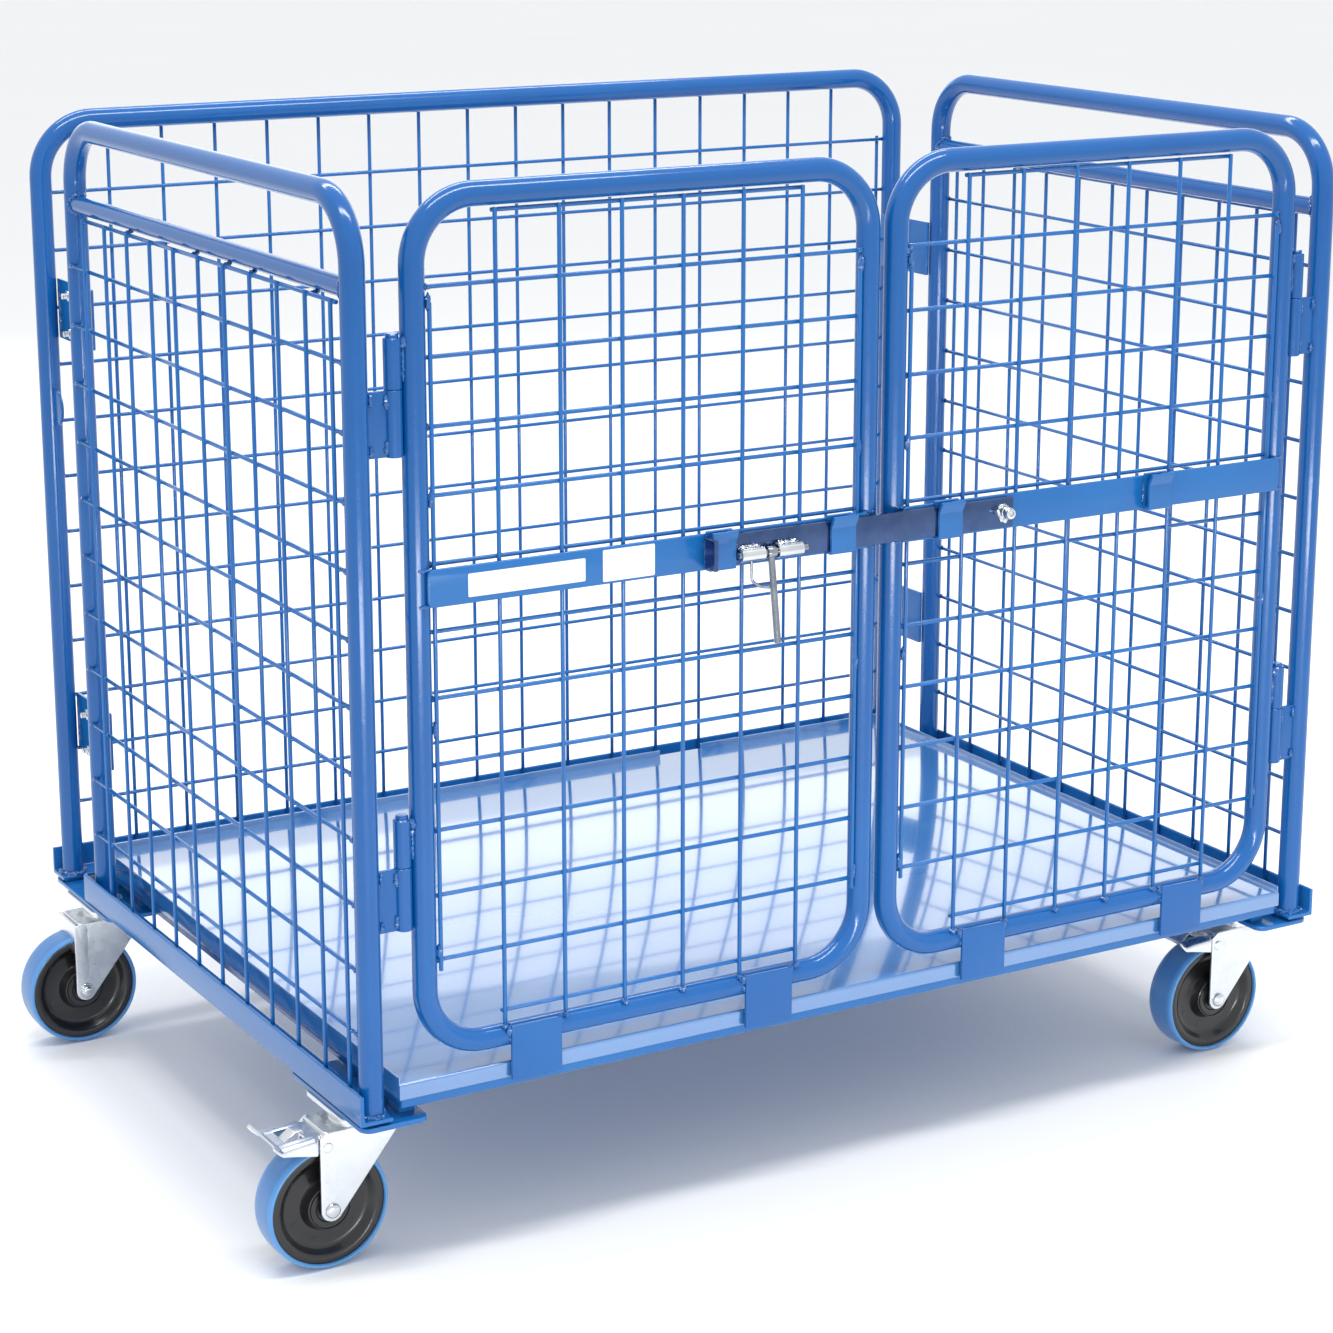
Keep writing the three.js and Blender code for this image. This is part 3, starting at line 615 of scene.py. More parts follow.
def left_panel():
    """The left panel's five skins, from which the right panel's are turned."""
    hoop = panel_hoop([(0, 0, FOOT), (0, 0, SIDE_TOP), (0, SIDE_DEPTH, SIDE_TOP), (0, SIDE_DEPTH, FOOT)],
                      (1, 0, 0))
    rail = rod((0, 6, RAIL_Z), (0, SIDE_DEPTH - 6, RAIL_Z), RAIL_R, TUBE_FACES)
    edge_z = RAIL_Z - RAIL_R - WIRE_R - 0.3
    along = np.array([21, *(86 + 74.5 * np.arange(10))])
    upright = rod((-UPRIGHT_OUT, 0, FOOT + 0.3), (-UPRIGHT_OUT, 0, edge_z + WIRE_R + 1), WIRE_R, 10)
    heights = GRID_TOP - PITCH * np.arange(1, 12)
    level = rod((-LEVEL_OUT, 8, 0), (-LEVEL_OUT, SIDE_DEPTH - 8, 0), WIRE_R, 10)
    crossings = [(-13.6, y, z) for y in along for z in (*heights, edge_z)]
    mesh = merge(
        copies(upright, [(0, y, 0) for y in along]),
        copies(level, [(0, 0, z) for z in heights]),
        rod((-LEVEL_OUT, 15, edge_z), (-LEVEL_OUT, along[-1] + 5, edge_z), WIRE_R, 10),
        copies(nugget(3.2), crossings),
    )
    over = ANGLE["over"]
    angle = bar((0, -over, 0), (0, SIDE_DEPTH + over + 2, 0), foot_angle(), (0, 0, 1))
    rng = np.random.default_rng(5)
    dots = [blob((-12.3, y, z), (2.6, 3.4, 3.0), 40 + i)
            for y in (7.5, SIDE_DEPTH - 7.5) for i, z in enumerate(heights)]
    tacks = [blob((-7, y, edge_z + 2), (5, 3.4, 2.2), 80 + i)
             for i, y in enumerate(rng.uniform(40, SIDE_DEPTH - 60, 6))]
    toes = [blob((-17.2, y, ANGLE["high"] - 6), (2.4, 3.6, 4.4), 120 + i) for i, y in enumerate(along[::2])]
    welds = merge(
        rail_weld(0, 1, 1), rail_weld(SIDE_DEPTH, -1, 2),
        foot_weld(0, 0, 3), foot_weld(0, SIDE_DEPTH, 4), *dots, *tacks, *toes,
    )
    return {"tube": hoop, "rail": rail, "mesh": mesh, "angle": angle, "welds": welds}


for side in ("left", "right"):
    for part, shape in left_panel().items():
        if side == "right":
            shape = half_turned(shape, LENGTH / 2, SIDE_DEPTH / 2)
        node = f"{side}_panel_{part}"
        stands_for = () if part == "welds" else (node,)
        blue(f"{node}_finished", "cage", shape, finish=part_coats.get(part, coat), stands_for=stands_for)


def back_panel():
    """Hoop with its padlock eye, mesh, angle and welds of the back panel."""
    hoop = panel_hoop([(0, BACK_Y, FOOT), (0, BACK_Y, BACK_TOP), (LENGTH, BACK_Y, BACK_TOP),
                       (LENGTH, BACK_Y, FOOT)], (0, 1, 0))
    mid = 848  # height of the eye's middle
    turn = np.radians(np.linspace(-90, 90, 17))
    edge = np.stack([BACK_Y - 22 - 22 * np.cos(turn), mid + 24 * np.sin(turn)], -1)
    outline = np.concatenate([[(BACK_Y - 8, mid - 24)], edge, [(BACK_Y - 8, mid + 24)]])
    eye = plate(outline, -2, 2, "x", 0.9)
    across = np.array([16, *(98.5 + PITCH * np.arange(16)), LENGTH - 16])
    y_up, y_level = BACK_Y + UPRIGHT_OUT, BACK_Y + LEVEL_OUT
    tall = rod((0, y_up, FOOT + 0.3), (0, y_up, BACK_TOP - 2), WIRE_R, 10)
    short = rod((0, y_up, FOOT + 0.3), (0, y_up, GRID_TOP + 5), WIRE_R, 10)
    level = rod((8, y_level, 0), (LENGTH - 8, y_level, 0), WIRE_R, 10)
    heights = GRID_TOP - PITCH * np.arange(12)
    crossings = [(x, BACK_Y + 13.6, z) for x in across for z in heights]
    mesh = merge(
        copies(tall, [(x, 0, 0) for x in across[1:-1]]),
        copies(short, [(x, 0, 0) for x in across[[0, -1]]]),
        copies(level, [(0, 0, z) for z in heights]),
        copies(nugget(3.2), crossings),
    )
    over = ANGLE["over"]
    angle = bar((-over, BACK_Y, 0), (LENGTH + over, BACK_Y, 0), foot_angle(), (0, 0, 1))
    dots = [blob((x, BACK_Y + 12.3, z), (3.4, 2.6, 3.0), 200 + i)
            for x in (7.5, LENGTH - 7.5) for i, z in enumerate(heights)]
    tops = [blob((x, BACK_Y + 12, BACK_TOP - 9), (3.2, 3, 3.4), 240 + i)
            for i, x in enumerate(across[1:-1])]
    eye_weld = bead(line((0, BACK_Y - 13.6, mid - 22), (0, BACK_Y - 13.6, mid + 22)), 2.6, 7)
    welds = merge(foot_weld(0, BACK_Y, 5), foot_weld(LENGTH, BACK_Y, 6), eye_weld, *dots, *tops)
    return {"tube": merge(hoop, eye), "mesh": mesh, "angle": angle, "welds": welds}


for part, shape in back_panel().items():
    node = f"back_panel_{part}"
    stands_for = () if part == "welds" else (node,)
    blue(f"{node}_finished", "cage", shape, finish=part_coats.get(part, coat), stands_for=stands_for)


# ---- bolted plates between the side posts and the back posts
def bolt_set(x, y, z):
    """Nut, washer and thread end outside the plate, and a hex head with its washer inside."""
    outer, inner = (x, y, z), (x + 5, y, z)
    turns = [(3.9 - 0.35 * (k % 2), -15 + k * 0.6) for k in range(24)]
    thread = [(2.6, -16.5), (3.9, -15.6), *turns, (3.9, 8), (2, 8)]
    outer_washer = [(4.2, -1.7), (9.4, -1.7), (9.7, -1.3), (9.7, -0.1), (4.2, -0.1)]
    inner_washer = [(4.2, 0.1), (9.7, 0.1), (9.7, 1.3), (9.4, 1.7), (4.2, 1.7)]
    return merge(
        turned(outer_washer, "x", outer, loop=True),
        shifted(plate(hexagon(13), -9.4, -1.8, "x", 0.9), *outer),
        turned(thread, "x", outer, 24),
        turned(inner_washer, "x", inner, loop=True),
        shifted(plate(hexagon(13), 1.8, 7.2, "x", 0.9), *inner),
    )


for side in ("left", "right"):
    for level, z0 in (("upper", 937), ("lower", 378)):
        y0, y1 = SIDE_DEPTH + 3, BACK_Y - 3
        middle = (y0 + y1) / 2
        strap = plate(rectangle(y0, y1, z0, z0 + 78, 2), 14.6, 19.5, "x", 1.0)
        runs = merge(
            bead(line((15.5, y0 + 7, z0 + 4), (15.5, y0 + 7, z0 + 74)), 2.2, 11),
            bead(line((15.5, y1 - 7, z0 + 4), (15.5, y1 - 7, z0 + 74)), 2.2, 12),
        )
        bolts = merge(*[bolt_set(14.6, middle, z0 + up) for up in (14, 63)])
        if side == "right":
            strap, runs, bolts = (mirrored(s, LENGTH / 2) for s in (strap, runs, bolts))
        node = f"{side}_{level}_panel_bracket"
        blue(f"{node}_finished", "cage", strap, finish=sheet_coat, stands_for=(node,))
        blue(f"{node}_welds", "cage", runs, finish=weld_coat)
        piece(f"{node}_bolts", "cage", bright_zinc, "zinc_plate", bolts)


# ---- deck tray and underframe
def deck_tray():
    """Sheet section carried along X, with upturned lips on three sides and a rounded front fold."""
    x0, x1, y0, y1, top = (DECK[k] for k in ("x0", "x1", "y0", "y1", "top"))
    t, lip, low = DECK["sheet"], DECK["top"] + DECK["lip"], DECK["top"] - DECK["fold"]
    section = flat(
        [(y0, low), (y0, top), (y1, top), (y1, low), (y1 - t, low), (y1 - t, top - t), (y0 + t, top - t),
         (y0 + t, low)], (0.6, 3.2, 0.8, 0.6, 0.6, 1, 1.2, 0.6), steps=4)
    sheet = bar((x0 + 0.2, 0, 0), (x1 - 0.2, 0, 0), section * (-1, 1), (0, 0, 1))
    ends = [block((a, y0 + 1.5, low - 0.2), (a + t, y1 - 0.4, lip), 0.95) for a in (x0, x1 - t)]
    backs = [block((a, y1 - t - 0.3, low - 0.4), (b, y1 + 0.3, lip - 0.1), 0.95)
             for a, b in ((x0 + 0.4, 903), (973, x1 - 0.4))]
    cove = flat([(0, 0), (2.4, 0), (0, 2.4)], 0.1, 1)
    fillets = merge(
        bar((x0 + t - 0.2, y0 + 3, top - 0.2), (x0 + t - 0.2, y1 - t, top - 0.2), cove, (0, 0, 1)),
        bar((x1 - t + 0.2, y1 - t, top - 0.2), (x1 - t + 0.2, y0 + 3, top - 0.2), cove, (0, 0, 1)),
    )
    return merge(sheet, *ends, *backs, fillets)


def underframe():
    """Rail grid under the sheet, four corner plates and the blocks that carry them."""
    a, b = DECK["x0"] + FRAME_INSET, DECK["x1"] - FRAME_INSET
    c, d = DECK["y0"] + FRAME_INSET, DECK["y1"] - FRAME_INSET
    top = DECK["top"] - DECK["sheet"] - 0.2
    rail = FRAME_RAIL
    bay = (b - a - rail * 4) / 3
    grid = [block((a, y, FRAME_LOW), (b, y + rail, top), 2.2) for y in (c, d - rail)]
    for start in (a + bay + rail, a + 2 * (bay + rail)):
        grid.append(block((start, c + 4, FRAME_LOW + 0.6), (start + rail, d - 4, top - 0.6), 2))
    for start, end in ((a - 0.3, a + rail), (b - rail, b + 0.3)):
        grid.append(block((start, c + 0.3, FRAME_LOW + 0.3), (end, d - 0.3, top - 0.3), 2.2))
    for y0, blocks, pads in ((-20, ((6, 36), (127, 157)), ((6, 36), (127, 157))),
                             (766, ((792, 822), (876, 906)), ((792, 822), (938, 960)))):
        corner = [plate(rectangle(-20, 63, y0, y0 + 203, 14, 7), 190, 196, "z", 1.3)]
        corner += [block((36, p, 195), (56, q, FRAME_LOW + 2), 1) for p, q in blocks]
        corner += [block((-14, p, 195), (12, q, ANGLE["low"] + 0.5), 0.8) for p, q in pads]
        grid += corner + [mirrored(s, LENGTH / 2) for s in corner]
    return merge(*grid)


blue("deck_tray_finished", "cage", deck_tray(), finish=deck_coat, stands_for=("deck_tray",))
blue("underframe_finished", "cage", underframe(), finish=sheet_coat, stands_for=("underframe",))


# ---- doors
def door():
    """Skins of one door, drawn on the left: closed hoop with tabs, mesh, middle bar and welds."""
    x0, x1 = DOOR_SIDE, DOOR_SIDE + DOOR_WIDTH
    corners = [(x, DOOR_Y, z) for x, z in ((x0, DOOR_LOW), (x1, DOOR_LOW), (x1, DOOR_TOP), (x0, DOOR_TOP))]
    hoop = swept(bent(corners, BEND_R, closed=True, steps=16), circle(TUBE_R), (0, 1, 0), closed=True)
    tabs = [plate(rectangle(x0 + a, x0 + a + TAB_WIDTH, 217, 282, 1.5, 3), -22, -17.6, "y", 1.0)
            for a in TAB_AT]
    across = np.linspace(x0 + DOOR_INSET, x1 - DOOR_INSET, DOOR_WIRES)
    across[[0, -1]] += (-1.4, 1.4)
    heights = GRID_TOP - PITCH * np.arange(11)
    low, high = heights[-1] - PITCH, GRID_TOP + PITCH + 1
    y_up, y_level = DOOR_Y - 8.9, DOOR_Y - 4.6
    tall = rod((0, y_up, DOOR_LOW + 10), (0, y_up, high + 3), WIRE_R, 10)
    short = rod((0, y_up, heights[-1] - 12), (0, y_up, GRID_TOP - 16), WIRE_R, 10)
    wide = rod((x0 + 10, y_level, 0), (x1 - 10, y_level, 0), WIRE_R, 10)
    inner = rod((across[1] - 3, y_level, 0), (across[-2] + 3, y_level, 0), WIRE_R, 10)
    crossings = [(x, DOOR_Y - 6.8, z) for x in across for z in heights]
    crossings += [(x, DOOR_Y - 6.8, z) for x in across[1:-1] for z in (low, high)]
    mesh = merge(
        copies(tall, [(x, 0, 0) for x in across[1:-1]]),
        copies(short, [(x, 0, 0) for x in across[[0, -1]]]),
        copies(wide, [(0, 0, z) for z in heights]),
        copies(inner, [(0, 0, z) for z in (low, high)]),
        copies(nugget(3.2), crossings),
    )
    middle = plate(rectangle(x0 + 4, x1 - 4, BAR_LOW, BAR_HIGH, 7, 6), BAR_FRONT, -18, "y", 1.1)
    welds = [blob((x, DOOR_Y - 10, DOOR_LOW + 12.5), (4.2, 4, 3.4), 300 + i)
             for i, x in enumerate(across[1:-1])]
    welds += [blob((x0 + 13.2, y_level, z), (3.0, 3, 3.6), 320 + i) for i, z in enumerate(heights[::2])]
    welds += [blob((x1 - 13.2, y_level, z), (3.0, 3, 3.6), 340 + i) for i, z in enumerate(heights[::2])]
    edge_spots = [(x, z) for x in (x0 + 14.6, x1 - 14.6) for z in (1108, 896, 640, 384)]
    welds += [blob((x, y_up + 0.5, z), (3.6, 3.6, 9), 350 + i) for i, (x, z) in enumerate(edge_spots)]
    for i, a in enumerate(TAB_AT):
        for j, edge in enumerate((a, a + TAB_WIDTH)):
            spot = x0 + edge
            welds.append(blob((spot, -16.5, 277), (4.4, 4.4, 6.5), 360 + 2 * i + j))
            welds.append(bead(line((spot, -17.5, 262), (spot, -14, 281), 1.2), 2.2, 370 + 2 * i + j))
    for k, x in enumerate((x0 + 3, x1 - 3)):
        for j, z in enumerate((BAR_LOW + 1, BAR_HIGH - 1)):
            welds.append(bead(line((x - 8, -18.6, z), (x + 8, -18.6, z), 1.2), 1.9, 380 + 2 * k + j))
    for k, z0 in enumerate(HINGE_Z.values()):
        top = z0 + BRACKET_H
        welds.append(blob((52.2, DOOR_Y - 6, top + KNUCKLE_H - 5), (4, 3.6, 5), 390 + k))
        welds.append(bead(line((52.2, DOOR_Y - 5, top + 8), (52.2, DOOR_Y - 5, top + 44)), 1.8, 394 + k))
    return {"tube": merge(hoop, *tabs), "mesh": mesh, "bar": middle, "welds": merge(*welds)}


def hinge_sleeve(z0):
    """Bored knuckle on the door, with eased rims and a small stepped plug in its top."""
    low, high = z0 + BRACKET_H + 0.5, z0 + BRACKET_H + 0.5 + KNUCKLE_H
    r = KNUCKLE_R
    profile = [(5.6, low), (r - 0.6, low), (r, low + 0.7), (r, high - 1.4), (r - 1.4, high), (5.6, high)]
    shell = turned(profile, "z", (HINGE_X, DOOR_Y, 0), loop=True)
    plug = turned([(7.2, high - 1), (7.2, high + 3.2), (6.2, high + 4.4), (2, high + 4.6)],
                  "z", (HINGE_X, DOOR_Y, 0), 12)
    return merge(shell, plug)


def hinge_bracket(z0):
    """Solid lower knuckle with its pin, and the plate that stands off the post."""
    top = z0 + BRACKET_H
    r = KNUCKLE_R
    knuckle = turned([(3, z0), (r - 0.8, z0), (r, z0 + 0.8), (r, top - 0.6), (r - 0.6, top), (5, top),
                      (5, top + KNUCKLE_H - 7), (4, top + KNUCKLE_H - 6)], "z", (HINGE_X, DOOR_Y, 0))
    wing = plate(rectangle(11, HINGE_X - 3, z0 + 0.4, top - 0.4, 2), DOOR_Y - 2.5, DOOR_Y + 2.5, "y", 0.9)
    return merge(knuckle, wing)


def bracket_welds(z0, seed):
    """Short welds at the top and bottom of the plate, at the knuckle and at the post."""
    runs = []
    for k, (x, low, high) in enumerate(((32.5, 52, 68), (32.5, 4, 18), (14.2, 56, 70), (14.2, 3, 14))):
        for y, radius, first in ((DOOR_Y - 3.6, 2.4, seed), (DOOR_Y + 3.6, 2.2, seed + 9)):
            runs.append(bead(line((x, y, z0 + low), (x, y, z0 + high), 1.2), radius, first + k))
    return merge(*runs)


for side in ("left", "right"):
    turn_over = (lambda shape: mirrored(shape, LENGTH / 2)) if side == "right" else (lambda shape: shape)
    body = f"{side}_door"
    for part, shape in door().items():
        node = f"{body}_{part}"
        stands_for = () if part == "welds" else (node,)
        blue(f"{node}_finished", body, turn_over(shape), finish=part_coats.get(part, coat),
             stands_for=stands_for)
    for level, z0 in HINGE_Z.items():
        sleeve = f"{side}_{level}_hinge_sleeve"
        bracket = f"{side}_{level}_hinge_bracket"
        blue(f"{sleeve}_finished", body, turn_over(hinge_sleeve(z0)), stands_for=(sleeve,))
        blue(f"{bracket}_finished", "cage", turn_over(hinge_bracket(z0)), stands_for=(bracket,))
        blue(f"{bracket}_welds", "cage", turn_over(bracket_welds(z0, 400)), finish=weld_coat)


# ---- keepers, latch bar and lever
def keeper(x):
    """Folded strip carried along X: back leg, seat under the bar, and a front flap with a flare."""
    back, front = BAR_FRONT - 0.1, LATCH["y0"] - 0.6
    t, drop, seat = 3.4, 779.5, 783.2
    section = flat([
        (back, drop), (front - t, drop), (front - t, 811), (front - t - 6, 823), (front - t - 3, 825.5),
        (front, 812.5), (front, seat), (back - t, seat), (back - t, 816), (back - t - 1.4, 824),
        (back, 825)], (2.2, 3, 3, 1.2, 1.2, 2, 1.2, 1.2, 3, 0.6, 1.4), steps=4)
    return bar((x - 16.5, 0, 0), (x + 16.5, 0, 0), section * (-1, 1), (0, 0, 1))


def keeper_welds(x, seed):
    """Weld along both ends of the back leg."""
    y = BAR_FRONT - 0.8
    return merge(*[bead(line((x + dx, y, 786), (x + dx, y, 815), 1.3), 1.5, seed + k)
                   for k, dx in enumerate((-16.8, 16.8))])


for number, x in enumerate(KEEPER_X, 1):
    body = "left_door" if x < LENGTH / 2 else "right_door"
    blue(f"latch_keeper_{number}_finished", body, keeper(x), finish=sheet_coat,
         stands_for=(f"latch_keeper_{number}",))
    blue(f"latch_keeper_{number}_welds", body, keeper_welds(x, 420 + 3 * number), finish=weld_coat)


def latch_bar():
    """Flat bar with an outward end, two barrels welded on it and a round stud near the far end."""
    x0, x1, z0, z1, y0, y1 = (LATCH[k] for k in ("x0", "x1", "z0", "z1", "y0", "y1"))
    middle, corner = (y0 + y1) / 2, x0 + 2.5
    path = bent([(x1, middle, 0), (corner, middle, 0), (corner, y0 - 20, 0)], 4, steps=6)
    strip = flat([(-2.5, z0), (2.5, z0), (2.5, z1), (-2.5, z1)], 0.9)
    bar_strip = swept(path, strip, (0, 0, 1))
    parts = []
    for k, (a, b) in enumerate(((451, 482), (500, 533))):
        shell = [(4.7, a), (7.2, a), (8, a + 0.8), (8, b - 0.8), (7.2, b), (4.7, b)]
        parts.append(turned(shell, "x", (0, BARREL_Y, BARREL_Z), 32, loop=True))
        parts.append(block((a + 1, y0 - 2, BARREL_Z - 5), (b - 1, y0 + 0.5, BARREL_Z + 5), 0.8))
        for y, z, radius, seed in ((-2.6, 6.6, 2.9, 440), (-2.2, -6.4, 2.2, 444)):
            run = line((a + 1, y0 + y, BARREL_Z + z), (b - 1, y0 + y, BARREL_Z + z), 1.2)
            parts.append(bead(run, radius, seed + k))
        parts += [blob((a + 6 + 9 * j, y0 - 5, BARREL_Z + 7.6), (4.4, 3, 2.6), 450 + 4 * k + j)
                  for j in range(3)]
    stud_x, stud_z = x1 - 15, 803
    stud = [(7, 0.5), (7, -7.6), (6.2, -8.6), (6.2, -10), (7, -11), (7, -16), (6, -17.6), (3.6, -18),
            (3, -15.6), (0.4, -15.2)]
    parts.append(turned(stud, "y", (stud_x, y0, stud_z), 28))
    parts.append(bead(ring((stud_x, y0 - 0.4, stud_z), 7.6, "y", count=36), 1.6, 460, closed=True))
    parts += [blob((stud_x - 2 + 5 * j, y0 - 1, stud_z - 9 - 2 * j), (3, 1.6, 3), 470 + j)
              for j in range(2)]
    return bar_strip, merge(*parts)


def latch_lever():
    """Pin through both barrels, the hanging handle and the thin hooked wire behind it."""
    pin = rod((449, BARREL_Y, BARREL_Z), (541, BARREL_Y, BARREL_Z), 4.2, 24)
    lean = math.radians(9)
    tip = (491.5, BARREL_Y - 104 * math.sin(lean), BARREL_Z - 104 * math.cos(lean))
    handle = rod((491.5, BARREL_Y, BARREL_Z + 3), tip, 4, 24)
    eye = turned([(4.6, -5.4), (6.6, -5.4), (7.2, -4.4), (7.2, 4.4), (6.6, 5.4), (4.6, 5.4)], "x",
                 (491.5, BARREL_Y, BARREL_Z), 28, loop=True)
    path = bent([(466, BARREL_Y, 788), (466, BARREL_Y - 1, 764), (476, BARREL_Y - 3, 757),
                 (489, BARREL_Y - 5.5, 755)], 8, steps=8)
    hook = swept(path, circle(1.7, 12), (0, -0.97, -0.243))
    return merge(pin, handle, eye, hook)


bar_strip, bar_fittings = latch_bar()
piece("latch_bar_finished", "latch_bar", bar_zinc, "zinc_plate", bar_strip, stands_for=("latch_bar",))
piece("latch_bar_fittings", "latch_bar", bright_zinc, "zinc_plate", bar_fittings)
piece("latch_lever_finished", "latch_lever", steel, "zinc_plate", latch_lever(),
      stands_for=("latch_lever",))

for size, limits in (("long", (118, 262, 786, 812)), ("short", (284, 350, 782, 818))):
    piece(f"blank_label_{size}", "left_door", film, "blue_powder_coat",
          plate(rectangle(*limits, 1.6, 4), BAR_FRONT - 0.35, BAR_FRONT + 0.05, "y", 0.1))


# ---- castors
def castor_plate(x, y):
    """Mounting plate with four nuts, over a stepped ball-race ring."""
    base = plate(rectangle(x - 42.5, x + 42.5, y - 52.5, y + 52.5, 8, 6), 184, 190, "z", 1.2)
    race = turned([(4, 178.2), (26, 178.2), (33, 178.6), (35, 180.2), (34.4, 182), (36, 183), (37.5, 184.4),
                   (4, 184.4)], "z", (x, y, 0), 56)
    nuts = [shifted(plate(hexagon(13), 178.6, 184.2, "z", 0.9), x + dx, y + dy, 0)
            for dx in (-31, 31) for dy in (-40, 40)]
    return merge(base, race, *nuts)


def leg_outline(x):
    """Fork leg seen from the side: round foot at the axle, upright back edge, raked front edge."""
    cx = x - TRAIL
    turn = np.radians(np.linspace(180, 326, 15))
    foot = np.stack([cx + 13.5 * np.cos(turn), AXLE_Z + 13.5 * np.sin(turn)], -1)
    top = bent([(x - 20, 100, 0), (x + 38, 161, 0), (x + 34, 170, 0), (x - 53, 170, 0), (x - 61.2, 163, 0),
                (x - 61.4, 110, 0)], (1, 9, 3, 5, 5, 1), steps=5)[1:-1, :2]
    return np.concatenate([foot, top])


def castor_fork(x, y, flange):
    """Two legs, a dished crown over the wheel with a ball-race dome, and rolled rear flanges."""
    shapes = []
    for sign in (-1, 1):
        a, b = sorted((sign * 27, sign * 31))
        shapes.append(plate(leg_outline(x), y + a, y + b, "y", 1.4, 4))
    crown = rectangle(x - 56, x + 34, y - 30.5, y + 30.5, 7, 5)
    shapes.append(plate(crown, CROWN_Z - 13, CROWN_Z - 7.2, "z", 2.4, 5))
    dome = [(6, 163), (30, 163), (33.5, 166), (34.5, 169.6), (33.2, 171.2), (33.2, 175.2), (31.6, 177),
            (6, 177)]
    shapes.append(turned(dome, "z", (x, y, 0), 56))
    shapes.append(turned([(2, 158), (6.5, 158.4), (8, 160), (8, 164)], "z", (x, y, 0), 6))
    if flange:
        lip = flat([(x - 61.6, 128), (x - 57.6, 128), (x - 57.6, 170), (x - 61.6, 170)], 1.4, 3)
        shapes.append(plate(lip, y - 30.6, y + 30.6, "y", 1))
        strip = rectangle(x - 61.5, x - 44, 92, 168, 5, 4)
        shapes += [plate(strip, side - 0.8, side + 0.8, "y", 0.75) for side in (y - 31, y + 31)]
    else:
        rivet = [(1, 0), (5.2, 0.1), (6.4, 1.2), (6.4, 3)]
        shapes.append(turned(rivet, "y", (x - 52, y - 32.6, 152), 24))
        shapes.append(turned([(r, -h) for r, h in rivet[::-1]], "y", (x - 52, y + 32.6, 152), 24))
    return merge(*shapes)


def castor_axle(x, y, hexed):
    """Bolt across the fork: washer and domed hex nut on one side, domed or hex head on the other."""
    at = (x - TRAIL, y, AXLE_Z)
    shank = turned([(3, -31), (6, -31), (6, 31), (3, 31)], "y", at, 24)
    dome = [(0.8, -36.2), (3.6, -36), (6.6, -35.2), (8.6, -33.6), (9.2, -31.9), (9.2, -31.1), (4, -31.1)]
    head = turned(dome, "y", at, 40)
    flat_ring = [(6.2, 31.1), (10.4, 31.1), (10.6, 31.4), (10.6, 32.6), (10.2, 33), (6.2, 33)]
    washer = turned(flat_ring, "y", at, 40, loop=True)
    nut = shifted(plate(hexagon(17), 33.1, 36.4, "y", 0.9), *at)
    cap = turned([(8, 36.2), (7, 37.2), (4.6, 37.9), (1, 38)], "y", at, 32)
    if hexed:
        head_ring = [(6.2, -33), (10.2, -33), (10.6, -32.6), (10.6, -31.1), (6.2, -31.1)]
        head = merge(turned(head_ring, "y", at, 40, loop=True),
                     shifted(plate(hexagon(15), -36, -33.1, "y", 0.8), *at),
                     turned([(1, -38), (4.4, -37.8), (6.4, -37), (7.2, -35.8)], "y", at, 32))
    return merge(shank, head, washer, nut, cap)


def wheel_hub(x, y):
    """Moulded hub: flat rim face, sunken web, raised boss with a ring groove, the same both sides."""
    face = [(6.4, 22.4), (16, 22.4), (16.6, 21.4), (17.4, 22.4), (23.2, 22.4), (23.8, 21), (24.6, 21),
            (25.2, 22.2), (26.2, 21.6), (29.6, 11.4), (31.4, 9.4), (34, 9), (48, 9), (51.6, 9.6), (54, 11.6),
            (58, 17.6), (59.6, 19.2), (61.2, 20), (67.6, 20), (68.8, 19.4)]
    profile = face[::-1] + [(r, -h) for r, h in face]
    hub = turned(profile, "y", (x - TRAIL, y, AXLE_Z), 96, loop=True)
    pip = turned([(0.6, -0.5), (2.6, -0.45), (3, 0), (2.6, 0.45), (0.6, 0.5)], "y", (0, 0, 0), 16)
    web, pip_r = 8.9, 43
    marks = [(x - TRAIL + pip_r * math.cos(turn), y + side, AXLE_Z + pip_r * math.sin(turn))
             for turn in np.radians((205, 250, 320, 20, 95)) for side in (-web, web)]
    return merge(hub, copies(pip, marks))


def tyre(x, y):
    """Solid tyre section turned about the axle: crowned tread, rounded shoulders, raised side rib."""
    half = [(68.9, 19.6), (69.6, 22.2), (70.6, 22.9), (71.8, 22.7), (72.8, 21.8), (74.0, 18.6), (74.7, 14),
            (75, 7)]
    profile = half + [(75, 0)] + [(r, -h) for r, h in half[::-1]]
    return turned(profile, "y", (x - TRAIL, y, AXLE_Z), 128, loop=True)


